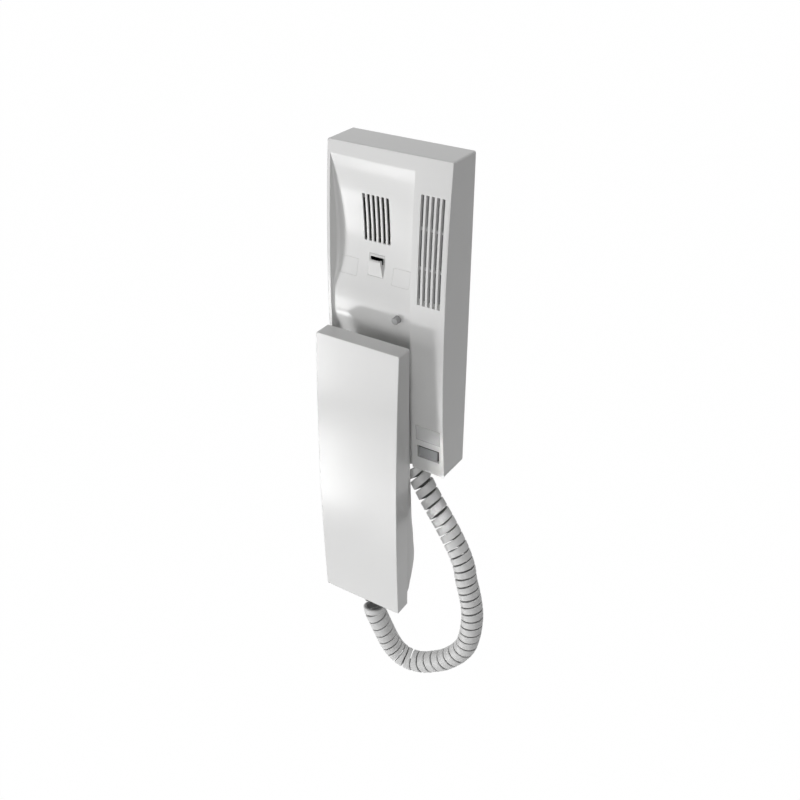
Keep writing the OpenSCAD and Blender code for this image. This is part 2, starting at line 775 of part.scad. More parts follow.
module hook_plunger() {
    tip = plunger_tip;
    pin_end = switch_top - pin_entry;
    color(GREY) turned(plunger_x, plunger_z, [
        [0, pin_end], [switch_pin_r, pin_end], [switch_pin_r, collar_h - collar_t],
        [collar_r, collar_h - collar_t], [collar_r, collar_h], [plunger_r, collar_h], [plunger_r, tip - 0.7],
        [plunger_r - 0.2, tip - 0.25], [plunger_r - 0.7, tip], [0, tip]
    ]);
}

module door_button() {
    pin_end = switch_top - pin_entry;
    color(GREY) union() {
        block(strip_x, key_z, key_w, key_h, flange_h - 0.2, key_front - 0.5);
        block(strip_x, key_z, key_w - 0.8, key_h - 0.8, key_front - 0.6, key_front);
        block(strip_x, key_z, key_window_w + 2 * flange_edge, key_window_h + 2 * flange_edge,
            flange_h - flange_t, flange_h);
        rod(strip_x, key_z, switch_pin_r, pin_end, flange_h - 0.5);
    }
}

// ---- Handset

module on_handset() {
    translate(OFF_HOOK) translate([handset_x, handset_y, 0]) children();
}

// The bowed outline of the handset, drawn in by a wall at the sides and behind the front
module handset_envelope(inset, skin) {
    intersection() {
        between(0, handset_edge + handset_bow + 1)
            rounded(handset_w - 2 * inset, handset_h - 2 * inset, max(corner_r - inset, 0.4));
        translate([0, bow_axis, 0])
            rotate([0, 90, 0]) cylinder(r = bow_r - skin, h = handset_w, center = true, $fn = 1440);
    }
}

module handset_front() {
    ledge = back_inset + ledge_w;
    color(WHITE) on_handset() difference() {
        union() {
            difference() {
                handset_envelope(0, 0);
                intersection() {
                    handset_envelope(handset_wall, handset_wall);
                    between(ledge_depth + ledge_t, handset_edge + handset_bow)
                        square([handset_w, handset_h], center = true);
                }
                between(-1, ledge_depth + ledge_t + 1)
                    square([handset_w - 2 * ledge, handset_h - 2 * ledge], center = true);
                between(-1, ledge_depth)
                    square([lid_w + 2 * fit, lid_h + 2 * fit], center = true);
            }
            intersection() {
                handset_envelope(1, 1);
                union() {
                    // Posts for the screws, and the tubes that hold the earpiece and the microphone
                    for (z = H_SCREWS) rod(0, z, 3.2, 0, 20);
                    rod(0, ear_z, ear_r - 1.5, ear_t - ear_seat + gasket_t + 2 * touch, 20);
                    rod(0, mic_z, mic_r + 1, 0, 20);
                }
            }
            rod(0, mic_z, mic_r + 1, -mic_seat + boot_wall + mic_t + 2 * touch, 1);
        }
        for (z = H_SCREWS) rod(0, z, h_screw_r + fit, -1, handset_edge - 1);
        rod(0, ear_z, ear_r - 3, 0, handset_edge - 1);
        rod(0, mic_z, mic_r - 0.6, -20, handset_edge - 1);
        translate([0, cord_in_y, -h_half_h - 1]) cylinder(r = grommet_neck_r + fit, h = 6);
        translate([0, cord_in_y, handset_wall - h_half_h]) cylinder(r = clip_r + fit, h = 6);
    }
}

// Where the cord enters the handset's lower end, half way up the edge of the front shell
cord_in_y = -handset_edge / 2 - 0.1;
clip_r = grommet_neck_r + 0.8;

function lid_ring(z, inset) = let(
    w = lid_w / 2 - inset,
    h = max(back_h(z) - inset, 0.3),
    r = min(back_round, h * 0.6),
    z1 = z * (lid_h / 2 - inset) / (lid_h / 2),
    low = -ledge_depth - inset * 0.5 + touch
) concat(
    [[-w, low, z1]],
    [for (i = [0:round_steps]) let(a = 90 * i / round_steps) [-w + r - r * cos(a), h - r + r * sin(a), z1]],
    [for (i = [round_steps:-1:0]) let(a = 90 * i / round_steps) [w - r + r * cos(a), h - r + r * sin(a), z1]],
    [[w, low, z1]]
);

// The back shell's outer form, or its inside when drawn in by a wall
module lid_form(inset) {
    steps = ceil(lid_h / back_step);
    half = lid_h / 2;
    zs = concat([-half, -half + 1], [for (k = [1:steps - 1]) -half + lid_h * k / steps], [half - 1, half]);
    loft([for (z = zs) lid_ring(z, inset)]);
}

module handset_back() {
    color(WHITE) on_handset() difference() {
        union() {
            difference() {
                lid_form(0);
                lid_form(back_wall);
            }
            intersection() {
                lid_form(back_wall / 2);
                union() {
                    for (z = H_SCREWS) rod(0, z, 3.6, -20, -touch);
                    rod(0, ear_z, ear_r + 2.6, -20, -0.2);
                    rod(0, mic_z, mic_r + boot_wall + 1.6, -20, -mic_seat + 5);
                    block(slot_x, slot_z, slot_w + 3, slot_h + 3, -20, -back_h(slot_z) + slot_depth + 1.5);
                }
            }
        }
        for (z = H_SCREWS) {
            rod(0, z, h_screw_r + fit, -20, 1);
            rod(0, z, h_head_r + 2 * fit, -20, -h_head_seat);
        }
        // Earpiece: sound holes, seat and locating ring
        for (i = [0:6]) {
            a = 60 * i;
            r = i == 0 ? 0 : 5;
            rod(r * cos(a), ear_z + r * sin(a), 0.9, -20, 0);
        }
        rod(0, ear_z, ear_r + fit, -ear_seat, 1);
        rod(0, ear_z, ear_r - 2.5, -ear_seat - 0.8, 1);
        // Microphone: slots and the cup for its boot
        for (x = [-2.4, 0, 2.4]) block(x, mic_z, 1.2, 6, -20, -mic_seat + 1);
        rod(0, mic_z, mic_r + boot_wall + fit, -mic_seat, 0);
        // Slot for the cradle's hook
        block(slot_x, slot_z, slot_w, slot_h, -20, -back_h(slot_z) + slot_depth);
    }
}

module earpiece_gasket() {
    color(DARK) on_handset() difference() {
        rod(0, ear_z, ear_r - touch, -ear_seat + touch, -ear_seat + gasket_t);
        rod(0, ear_z, ear_r - 2.5, -ear_seat - 1, 0);
    }
}

module earpiece() {
    front = ear_seat - gasket_t - touch;
    color(DARK) on_handset() turned(0, ear_z, [
        [0, -front + 1], [4, -front + 1], [ear_r - 4, -front + 0.4], [ear_r - 2.6, -front],
        [ear_r - touch, -front], [ear_r - touch, -front + 2], [ear_r - 1.2, -front + ear_t - 1.2],
        [ear_r - 2.4, -front + ear_t], [0, -front + ear_t]
    ]);
}

module microphone_boot() {
    color(DARK) on_handset() difference() {
        rod(0, mic_z, mic_r + boot_wall, -mic_seat + touch, -mic_seat + boot_wall + mic_t);
        rod(0, mic_z, mic_r, -mic_seat + boot_wall, 0);
        rod(0, mic_z, 1.8, -mic_seat - 1, 0);
    }
}

module microphone() {
    color(STEEL) on_handset() turned(0, mic_z, [
        [0, -mic_seat + boot_wall + 0.3], [mic_r - 1, -mic_seat + boot_wall + touch],
        [mic_r - touch, -mic_seat + boot_wall + 0.5], [mic_r - touch, -mic_seat + boot_wall + mic_t - touch],
        [0, -mic_seat + boot_wall + mic_t - touch]
    ]);
}

module handset_grommet() {
    inner = handset_wall + 1;
    color(WHITE) on_handset() translate([0, cord_in_y, -h_half_h]) rotate_extrude() polygon([
        [0, inner], [clip_r, inner], [clip_r, handset_wall + touch],
        [grommet_neck_r, handset_wall + touch], [grommet_neck_r, -touch], [grommet_r - 0.4, -touch],
        [grommet_r - 0.4, -0.8], [2.6, -nose], [0, -nose]
    ]);
}

module handset_screws() {
    color(STEEL) on_handset() for (z = H_SCREWS) mirror([0, 1, 0])
        pan_screw(0, z, h_screw_r, h_head_r, 1.6, h_head_seat + touch, -8);
}

// ---- Curly cord

// Points along the coil's middle, with their distance from the start and the pitch there
function spline(p, i, t) = let(
    a = p[max(i - 1, 0)], b = p[i], c = p[i + 1], d = p[min(i + 2, len(p) - 1)]
) 0.5 * (2 * b + (c - a) * t + (2 * a - 5 * b + 4 * c - d) * t * t + (3 * b - a - 3 * c + d) * t * t * t);
AXIS = concat(
    [for (i = [0:len(COIL) - 2], k = [0:spline_steps - 1]) spline(COIL, i, k / spline_steps)],
    [COIL[len(COIL) - 1]]
);
function place(v) = [v[0], v[1], v[2]];
function step_to(p, i) = i < len(p) ? norm(place(p[i]) - place(p[i - 1])) : 0;
function pile(p) = [for (i = 0, s = 0; i < len(p); s = s + step_to(p, i + 1), i = i + 1) s];
DIST = pile(AXIS);
axis_len = DIST[len(DIST) - 1];
TRACK = [for (k = [0:3]) [for (i = [0:len(AXIS) - 1]) [DIST[i], AXIS[i][k]]]];
function axis_at(s) = [lookup(s, TRACK[0]), lookup(s, TRACK[1]), lookup(s, TRACK[2])];
function pitch_at(s) = lookup(s, TRACK[3]);
function along_at(s) = unit(axis_at(min(s + 0.6, axis_len)) - axis_at(max(s - 0.6, 0)));

// Stations, an eighth of a curl apart between the straight ends
free_end = axis_len - cord_straight;
RAW = [for (s = cord_straight; s < free_end; s = s + pitch_at(s) / curl_rings) s];
fill = (free_end - cord_straight) / (RAW[len(RAW) - 1] - cord_straight);
STATION = concat([0], [for (s = RAW) cord_straight + (s - cord_straight) * fill], [axis_len]);
last_ring = len(STATION) - 1;
// The winding sets in over a stretch of rings at each end
function winding(k) = let(t = min(1, min(k - 1, last_ring - 1 - k) / set_in)) t <= 0 ? 0 : t * t * (3 - 2 * t);
TURNED = [for (k = 0, a = 0; k <= last_ring; a = a + (winding(k) + winding(k + 1)) / 2, k = k + 1) a];
// A frame carried along the middle without turning about it
function carry(n, t) = unit(n - (n * t) * t);
ALONG = [for (s = STATION) along_at(s)];
SIDE = [for (k = 0, n = [-1, 0, 0]; k <= last_ring; k = k + 1, n = carry(n, ALONG[min(k, last_ring)])) n];
end_angle = let(n = SIDE[last_ring], b = cross(ALONG[last_ring], n)) atan2([-1, 0, 0] * b, [-1, 0, 0] * n);
raw_turn = cord_hand * TURNED[last_ring] * 360 / curl_rings;
curl_scale = (round((raw_turn - end_angle) / 360) * 360 + end_angle) / raw_turn;
function out_at(k) = let(
    a = cord_hand * TURNED[k] * 360 / curl_rings * curl_scale,
    n = SIDE[k],
    b = cross(ALONG[k], n)
) cos(a) * n + sin(a) * b;
MIDDLE = [for (k = [0:last_ring]) axis_at(STATION[k]) + coil_r * out_at(k)];
function run_at(k) =
    k <= 1 ? ALONG[0] : k >= last_ring - 1 ? ALONG[last_ring] : unit(MIDDLE[k + 1] - MIDDLE[k - 1]);
// Corners of the cord's section, across and outwards: round at the ends and flattened in the curls
ROUND_CUT = [for (i = [0:5]) [cos(60 * i) / 2, sin(60 * i) / 2]];
FLAT_CUT = [[0.5, 0], [0.38, 0.5], [-0.38, 0.5], [-0.5, 0], [-0.38, -0.5], [0.38, -0.5]];
function cord_ring(k) = let(
    v = run_at(k),
    o = carry(out_at(k), v),
    w = cross(v, o),
    flat = winding(k),
    thick = cord_round + (cord_t - cord_round) * flat,
    wide = cord_round + (cord_w - cord_round) * flat
) [
    for (i = [0:5])
        let(c = ROUND_CUT[i] * (1 - flat) + FLAT_CUT[i] * flat)
        MIDDLE[k] + o * thick * c[1] + w * wide * c[0]
];
CORD = [for (k = [0:last_ring]) cord_ring(k)];

module handset_cord() {
    gaps = [
        for (k = [1:last_ring - curl_rings - 4], j = [curl_rings - 3:curl_rings + 3])
            for (p = CORD[k], q = CORD[min(k + j, last_ring)]) norm(p - q)
    ];
    echo(curls = abs(raw_turn * curl_scale) / 360, axis_length = axis_len, least_gap = min(gaps));
    echo(cord_length = pile(MIDDLE)[last_ring], start = MIDDLE[0], end = MIDDLE[last_ring]);
    color(WHITE) loft(CORD);
}

// ---- The part

rear_base();
front_cover();
cradle_hook();
speaker();
speaker_gasket();
speaker_screws();
slit_screen();
circuit_board();
board_screws();
hook_switch();
plunger_spring();
button_switch();
button_spring();
terminal_block();
terminal_screws();
cord_connector();
name_card();
name_window();
cord_grommet();
cover_screw();
handset_cord();
hook_plunger();
door_button();
handset_front();
handset_back();
earpiece();
earpiece_gasket();
microphone();
microphone_boot();
handset_grommet();
handset_screws();
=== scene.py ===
# Slimline wall phone: camera, curly cord, finishes, shaped shells, light and floor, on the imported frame.
import json
import math

import bmesh
import bpy
from mathutils import Matrix, Vector

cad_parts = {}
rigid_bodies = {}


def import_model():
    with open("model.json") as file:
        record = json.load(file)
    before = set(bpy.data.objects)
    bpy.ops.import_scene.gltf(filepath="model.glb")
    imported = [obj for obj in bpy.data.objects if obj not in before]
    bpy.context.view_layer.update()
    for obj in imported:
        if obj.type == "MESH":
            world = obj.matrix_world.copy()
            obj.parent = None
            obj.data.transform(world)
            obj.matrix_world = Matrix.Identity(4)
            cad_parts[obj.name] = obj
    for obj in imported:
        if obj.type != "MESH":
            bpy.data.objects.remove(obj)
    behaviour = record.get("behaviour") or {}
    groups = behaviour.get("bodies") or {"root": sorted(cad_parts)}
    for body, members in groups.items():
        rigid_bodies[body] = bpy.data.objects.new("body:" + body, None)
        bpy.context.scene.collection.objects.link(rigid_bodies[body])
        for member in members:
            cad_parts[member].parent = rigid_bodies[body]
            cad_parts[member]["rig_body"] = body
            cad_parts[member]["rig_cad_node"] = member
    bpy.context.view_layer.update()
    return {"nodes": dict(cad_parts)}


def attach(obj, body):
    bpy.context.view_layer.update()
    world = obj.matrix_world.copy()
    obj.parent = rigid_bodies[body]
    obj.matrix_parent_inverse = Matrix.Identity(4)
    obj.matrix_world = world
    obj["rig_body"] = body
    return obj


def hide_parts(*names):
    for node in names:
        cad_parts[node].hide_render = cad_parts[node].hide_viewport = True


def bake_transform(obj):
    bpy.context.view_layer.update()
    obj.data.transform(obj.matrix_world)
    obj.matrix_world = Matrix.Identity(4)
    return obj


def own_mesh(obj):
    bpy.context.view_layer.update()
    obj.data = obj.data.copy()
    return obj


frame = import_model()
MM = 0.001


# ---- Camera

def make_camera():
    bpy.ops.object.select_all(action="DESELECT")
    bpy.ops.object.camera_add()
    camera = bpy.context.object
    camera.name = "phone_camera"
    camera.data.lens = 44.38
    camera.data.sensor_width = 36
    camera.data.clip_start = 0.02
    camera.data.clip_end = 60
    yaw = Matrix.Rotation(math.radians(32.1), 4, "Z")
    pitch = Matrix.Rotation(math.radians(90 - 31.68), 4, "X")
    roll = Matrix.Rotation(math.radians(0.21), 4, "Z")
    place = Matrix.Translation((300.59 * MM, -491.30 * MM, 281.72 * MM))
    camera.matrix_world = place @ yaw @ pitch @ roll
    bpy.context.scene.camera = camera


make_camera()


# ---- Handling of pieces

def put_down():
    """Leaves edit mode and selects nothing."""
    if bpy.context.object and bpy.context.object.mode != "OBJECT":
        bpy.ops.object.mode_set(mode="OBJECT")
    bpy.ops.object.select_all(action="DESELECT")


def take(piece):
    """Selects a piece alone and makes it the active one."""
    put_down()
    piece.hide_viewport = False
    piece.select_set(True)
    bpy.context.view_layer.objects.active = piece


def settle(piece, name):
    """Names a piece and writes its place, turn and scale into its mesh."""
    take(piece)
    piece.name = name
    piece.data.name = name
    bpy.ops.object.transform_apply(location=True, rotation=True, scale=True)
    return piece


def block(name, x, z, w, h, h0, h1):
    """A block seen from the front, between two heights over the wall, in millimetres."""
    put_down()
    centre = (x * MM, -(h0 + h1) / 2 * MM, z * MM)
    bpy.ops.mesh.primitive_cube_add(size=1, location=centre, scale=(w * MM, (h1 - h0) * MM, h * MM))
    return settle(bpy.context.object, name)


def rod(name, x, z, r, h0, h1, sides=48):
    """A round rod square to the wall, between two heights over it."""
    put_down()
    centre = (x * MM, -(h0 + h1) / 2 * MM, z * MM)
    bpy.ops.mesh.primitive_cylinder_add(
        vertices=sides, radius=r * MM, depth=(h1 - h0) * MM, location=centre, rotation=(math.pi / 2, 0, 0))
    return settle(bpy.context.object, name)


def upright_rod(name, x, h, r, z0, z1):
    """A round rod along the wall, at the height h over it, from z0 up to z1."""
    put_down()
    centre = (x * MM, -h * MM, (z0 + z1) / 2 * MM)
    bpy.ops.mesh.primitive_cylinder_add(vertices=48, radius=r * MM, depth=(z1 - z0) * MM, location=centre)
    return settle(bpy.context.object, name)


def skin(name, columns, rows, form):
    """A sheet pressed to a form: form(u, v) gives x, the height over the wall and z in millimetres."""
    put_down()
    bpy.ops.mesh.primitive_grid_add(
        x_subdivisions=columns, y_subdivisions=rows, size=1, rotation=(math.pi / 2, 0, 0))
    piece = settle(bpy.context.object, name)
    for point in piece.data.vertices:
        x, h, z = form(point.co.x + 0.5, point.co.z + 0.5)
        point.co = (x * MM, -h * MM, z * MM)
    return piece


def edit(piece, kind, test):
    """Goes into edit mode with what the test accepts selected."""
    take(piece)
    bpy.ops.object.mode_set(mode="EDIT")
    bpy.ops.mesh.select_mode(type=kind)
    bpy.ops.mesh.select_all(action="DESELECT")
    mesh = bmesh.from_edit_mesh(piece.data)
    for part in {"FACE": mesh.faces, "EDGE": mesh.edges, "VERT": mesh.verts}[kind]:
        part.select_set(test(part))
    bmesh.update_edit_mesh(piece.data)


def deepen(piece, h):
    """Draws a sheet out to a flat face at the height h, as a closed body."""
    edit(piece, "FACE", lambda face: True)
    bpy.ops.mesh.extrude_region_move(TRANSFORM_OT_translate={"value": (0, MM, 0)})
    bpy.ops.transform.resize(value=(1, 0, 1), center_override=(0, -h * MM, 0))
    bpy.ops.mesh.select_all(action="SELECT")
    bpy.ops.mesh.normals_make_consistent(inside=False)
    bpy.ops.object.mode_set(mode="OBJECT")
    return piece


def apply(piece, kind, **settings):
    """Works one modifier into a piece's mesh."""
    take(piece)
    change = piece.modifiers.new(kind.lower(), kind)
    for name, value in settings.items():
        setattr(change, name, value)
    bpy.ops.object.modifier_apply(modifier=change.name)
    return piece


def together(name, *pieces):
    take(pieces[0])
    for piece in pieces:
        piece.select_set(True)
    bpy.ops.object.join()
    return settle(bpy.context.object, name)


def work(piece, tool, operation):
    apply(piece, "BOOLEAN", operation=operation, solver="EXACT", object=tool)
    bpy.data.objects.remove(tool)
    return piece


def cut(piece, tool):
    return work(piece, tool, "DIFFERENCE")


def fuse(piece, tool):
    return work(piece, tool, "UNION")


def keep_within(piece, tool):
    return work(piece, tool, "INTERSECT")


# The angle from which an edge counts as sharp, and what counts as one point and as one flat face
SHARP = math.radians(32)
ONE_POINT = 0.000002
ONE_FACE = math.radians(0.05)


def shade(piece):
    """Smooth over the rounded edges, with the large faces kept flat."""
    take(piece)
    bpy.ops.object.shade_smooth_by_angle(angle=SHARP)
    return apply(piece, "WEIGHTED_NORMAL", mode="FACE_AREA", weight=50, keep_sharp=True)


def round_edges(piece, width, where, segments=3):
    """Rounds the sharp edges whose middle, in millimetres, the test accepts."""
    def chosen(edge):
        if len(edge.link_faces) != 2 or edge.calc_face_angle() < SHARP:
            return False
        return where((edge.verts[0].co + edge.verts[1].co) / 2 / MM)
    edit(piece, "EDGE", chosen)
    bpy.ops.mesh.bevel(offset=width * MM, segments=segments, affect="EDGES", clamp_overlap=False)
    bpy.ops.object.mode_set(mode="OBJECT")


def soften(piece, width):
    """Rounds all sharp edges and shades the rest smooth."""
    apply(
        piece, "BEVEL", width=width * MM, segments=2, limit_method="ANGLE",
        angle_limit=SHARP, use_clamp_overlap=True, miter_outer="MITER_ARC")
    return shade(piece)


def traced(node, name):
    """A merged copy of a node, with its flat faces whole again."""
    source = frame["nodes"][node]
    put_down()
    piece = source.copy()
    piece.data = source.data.copy()
    piece.parent = None
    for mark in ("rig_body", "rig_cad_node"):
        if mark in piece:
            del piece[mark]
    bpy.context.scene.collection.objects.link(piece)
    settle(piece, name)
    piece.data.materials.clear()
    edit(piece, "VERT", lambda point: True)
    bpy.ops.mesh.customdata_custom_splitnormals_clear()
    bpy.ops.mesh.remove_doubles(threshold=ONE_POINT)
    bpy.ops.mesh.dissolve_limited(angle_limit=ONE_FACE)
    bpy.ops.object.mode_set(mode="OBJECT")
    return piece


def dress(piece, finish, slot, body, *nodes):
    """Gives a piece its finish and body, and hides the nodes it replaces; a blended piece has no body. The
    slot is not used.
    """
    piece.data.materials.clear()
    piece.data.materials.append(finish)
    if body:
        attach(piece, body)
    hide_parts(*nodes)


def between(pairs, x):
    """Where x lies in pairs of place and value: the pair before it, and its share of the way to the next."""
    x = min(max(x, pairs[0][0]), pairs[-1][0])
    i = next((k for k in range(len(pairs) - 1) if x <= pairs[k + 1][0]), len(pairs) - 2)
    return i, (x - pairs[i][0]) / (pairs[i + 1][0] - pairs[i][0])


def smooth_curve(pairs, x):
    """A smooth curve through pairs of place and value."""
    i, t = between(pairs, x)

    def slope(k):
        a, b = pairs[max(k - 1, 0)], pairs[min(k + 1, len(pairs) - 1)]
        return (b[1] - a[1]) / (b[0] - a[0])

    run = pairs[i + 1][0] - pairs[i][0]
    a, b = pairs[i][1], pairs[i + 1][1]
    ma, mb = slope(i) * run, slope(i + 1) * run
    return a + t * (ma + t * (3 * (b - a) - 2 * ma - mb + t * (2 * (a - b) + ma + mb)))


# ---- Curly cord

# Middle of the coil: x, y, z and the distance from curl to curl, in metres
COIL = [
    (0.0108, -0.0127, -0.1095, 0.0076), (0.0108, -0.0127, -0.1112, 0.0076),
    (0.0108, -0.0127, -0.113, 0.0077), (0.0122, -0.0128, -0.117, 0.0079),
    (0.0154, -0.0131, -0.1216, 0.0079), (0.0205, -0.014, -0.1276, 0.0079),
    (0.0256, -0.0152, -0.1338, 0.0078), (0.0308, -0.0164, -0.1396, 0.0075),
    (0.036, -0.0176, -0.145, 0.0071), (0.0456, -0.0194, -0.1562, 0.0062), (0.054, -0.0214, -0.167, 0.0057),
    (0.06, -0.0232, -0.1775, 0.0055), (0.0632, -0.025, -0.187, 0.0054), (0.0664, -0.026, -0.196, 0.0054),
    (0.069, -0.027, -0.204, 0.0054), (0.0712, -0.0285, -0.213, 0.0056), (0.0718, -0.03, -0.223, 0.0058),
    (0.071, -0.031, -0.233, 0.0062), (0.0686, -0.032, -0.243, 0.0066), (0.0628, -0.0335, -0.2526, 0.0069),
    (0.0545, -0.035, -0.2614, 0.007), (0.046, -0.036, -0.2674, 0.007), (0.038, -0.037, -0.2718, 0.007),
    (0.03, -0.038, -0.2738, 0.0068), (0.0224, -0.0395, -0.2724, 0.0058), (0.0158, -0.041, -0.2675, 0.0054),
    (0.0106, -0.0425, -0.259, 0.0058), (0.0066, -0.0438, -0.2488, 0.0066),
    (0.0028, -0.045, -0.2388, 0.0069), (-0.00006, -0.046, -0.2302, 0.0058),
    (-0.00006, -0.046, -0.2254, 0.0048), (-0.00006, -0.046, -0.2208, 0.0044),
]
COIL_R = 0.0066
# The flat cord: its width between two limits, the gap from curl to curl, its thickness and its rounded edges
BAND_LEAST = 0.0027
BAND_MOST = 0.006
BAND_GAP = 0.001
BAND_T = 0.0024
BAND_EDGE = 0.00055
# The round cord at both ends: its diameter, its straight run, and over how many steps it turns flat
ROUND = 0.0037
STRAIGHT = 0.0026
SET_IN = 4
# Reach over which directions and bends are measured, and fineness of curve, curls and section
WAY_STEP = 0.0006
BEND_STEP = 0.004
SPLINE_STEPS = 10
RINGS_PER_CURL = 8
FINE = 4
PER_CORNER = 4
AROUND = 4 * PER_CORNER
# Length of cord on one unit of its map
MAP_LENGTH = 0.01


def spline_point(i, t):
    a, b, c, d = (COIL[min(max(i + k, 0), len(COIL) - 1)] for k in (-1, 0, 1, 2))
    return [
        0.5 * (2 * q + (r - p) * t + (2 * p - 5 * q + 4 * r - s) * t * t + (3 * q - p - 3 * r + s) * t ** 3)
        for p, q, r, s in zip(a, b, c, d)]


def coil_axis():
    """Distance along the coil's middle, and the middle and pitch there."""
    steps = [spline_point(i, k / SPLINE_STEPS) for i in range(len(COIL) - 1) for k in range(SPLINE_STEPS)]
    steps.append(list(COIL[-1]))
    run = [0.0]
    for a, b in zip(steps, steps[1:]):
        run.append(run[-1] + (Vector(b[:3]) - Vector(a[:3])).length)
    return list(zip(run, steps))


AXIS = coil_axis()
AXIS_LENGTH = AXIS[-1][0]


def axis_value(s):
    """The coil's middle and its pitch at a distance from the start."""
    i, t = between(AXIS, s)
    return [a + (b - a) * t for a, b in zip(AXIS[i][1], AXIS[i + 1][1])]


def axis_place(s):
    return Vector(axis_value(s)[:3])


def axis_way(s):
    return (axis_place(min(s + WAY_STEP, AXIS_LENGTH)) - axis_place(max(s - WAY_STEP, 0))).normalized()


def squared(direction, way):
    return (direction - way * direction.dot(way)).normalized()


def band_width(s, out):
    """As wide as the curls leave room for on that side of the bend, narrow inside it and wide outside."""
    bend = (axis_way(s + BEND_STEP) - axis_way(s - BEND_STEP)) / (2 * BEND_STEP)
    room = axis_value(s)[3] * (1 - COIL_R * bend.dot(out)) - BAND_GAP
    return min(BAND_MOST, max(BAND_LEAST, room))


def wind_cord():
    """Along the wound cord: its middle, which way its flat side looks, how flat it is and how wide."""
    free_end = AXIS_LENGTH - STRAIGHT
    raw = []
    s = STRAIGHT
    while s < free_end:
        raw.append(s)
        s += axis_value(s)[3] / RINGS_PER_CURL
    fill = (free_end - STRAIGHT) / (raw[-1] - STRAIGHT)
    stations = [0.0] + [STRAIGHT + (s - STRAIGHT) * fill for s in raw] + [AXIS_LENGTH]
    last = len(stations) - 1

    def winding(k):
        t = min(1, min(k - 1, last - 1 - k) / SET_IN)
        return 0 if t <= 0 else t * t * (3 - 2 * t)

    turned = [0.0]
    for k in range(last):
        turned.append(turned[-1] + (winding(k) + winding(k + 1)) / 2)
    ways = [axis_way(s) for s in stations]
    start = Vector((-1, 0, 0))
    sides = [squared(start, ways[0])]
    for k in range(1, last + 1):
        sides.append(squared(sides[-1], ways[k]))
    end = math.atan2(start.dot(ways[last].cross(sides[last])), start.dot(sides[last]))
    whole = turned[last] * 2 * math.pi / RINGS_PER_CURL
    scale = (round((whole - end) / (2 * math.pi)) * 2 * math.pi + end) / whole
    rings = []
    for k in range(last):
        for j in range(FINE):
            t = j / FINE
            s = stations[k] + (stations[k + 1] - stations[k]) * t
            way = axis_way(s)
            side = squared(sides[k].lerp(sides[k + 1], t), way)
            angle = (turned[k] + (turned[k + 1] - turned[k]) * t) * 2 * math.pi / RINGS_PER_CURL * scale
            out = side * math.cos(angle) + way.cross(side) * math.sin(angle)
            flat = winding(k) + (winding(k + 1) - winding(k)) * t
            rings.append((axis_place(s) + out * COIL_R, out, flat, band_width(s, out)))
    rings.append((axis_place(AXIS_LENGTH) + start * COIL_R, start, 0.0, ROUND))
    return rings


def band_corner(i, wide, thick, flat):
    """A point of the cord's section: round where flat is 0, and a band with rounded edges where it is 1."""
    turn = 2 * math.pi * (i + 0.5) / AROUND
    corner, step = divmod(i, PER_CORNER)
    a = math.pi / 2 * (corner + step / (PER_CORNER - 1))
    u = math.copysign(wide / 2 - BAND_EDGE, math.cos(turn)) + BAND_EDGE * math.cos(a)
    v = math.copysign(thick / 2 - BAND_EDGE, math.sin(turn)) + BAND_EDGE * math.sin(a)
    round_u, round_v = math.cos(turn) * ROUND / 2, math.sin(turn) * ROUND / 2
    return round_u + (u - round_u) * flat, round_v + (v - round_v) * flat


def make_cord():
    """The flattened cord as one tube with a map along and round it."""
    rings = wind_cord()
    middles = [ring[0] for ring in rings]
    last = len(rings) - 1
    points, faces, corners, lengths = [], [], [], [0.0]
    for k, (middle, out, flat, wide) in enumerate(rings):
        if k:
            lengths.append(lengths[-1] + (middle - middles[k - 1]).length)
        way = (middles[min(k + 1, last)] - middles[max(k - 1, 0)]).normalized()
        out = squared(out, way)
        across = way.cross(out)
        for i in range(AROUND):
            u, v = band_corner(i, wide, BAND_T, flat)
            points.append(middle + across * u + out * v)
    for k in range(last):
        along, further = lengths[k] / MAP_LENGTH, lengths[k + 1] / MAP_LENGTH
        for i in range(AROUND):
            j = (i + 1) % AROUND
            a, b = k * AROUND, (k + 1) * AROUND
            faces.append((a + i, b + i, b + j, a + j))
            low, high = i / AROUND, (i + 1) / AROUND
            corners += [low, along, low, further, high, further, high, along]
    for end in (range(AROUND), reversed(range(last * AROUND, (last + 1) * AROUND))):
        faces.append(tuple(end))
        corners += [0.5, 0.0] * AROUND
    mesh = bpy.data.meshes.new("curly_cord")
    mesh.from_pydata(points, [], faces)
    mesh.uv_layers.new(name="along").data.foreach_set("uv", corners)
    cord = bpy.data.objects.new("curly_cord", mesh)
    bpy.context.scene.collection.objects.link(cord)
    edit(cord, "FACE", lambda face: True)
    bpy.ops.mesh.normals_make_consistent(inside=False)
    bpy.ops.object.mode_set(mode="OBJECT")
    return shade(cord), middles, lengths[-1]


cord, cord_line, cord_length = make_cord()


# ---- Finishes

class Signal:
    """A number on its way through a finish's nodes."""

    def __init__(self, finish, socket):
        self.finish = finish
        self.socket = socket

    def math(self, operation, *others):
        sockets = dict(enumerate((self, *others)))
        return self.finish.node("ShaderNodeMath", {"operation": operation}, sockets)

    def __add__(self, other):
        return self.math("ADD", other)

    __radd__ = __add__

    def __mul__(self, other):
        return self.math("MULTIPLY", other)

    def __gt__(self, limit):
        """1 over the limit, and 0 elsewhere."""
        return self.math("GREATER_THAN", limit)

    def near(self, middle, reach):
        """1 within reach of the middle, and 0 elsewhere."""
        return self.math("COMPARE", middle, reach)


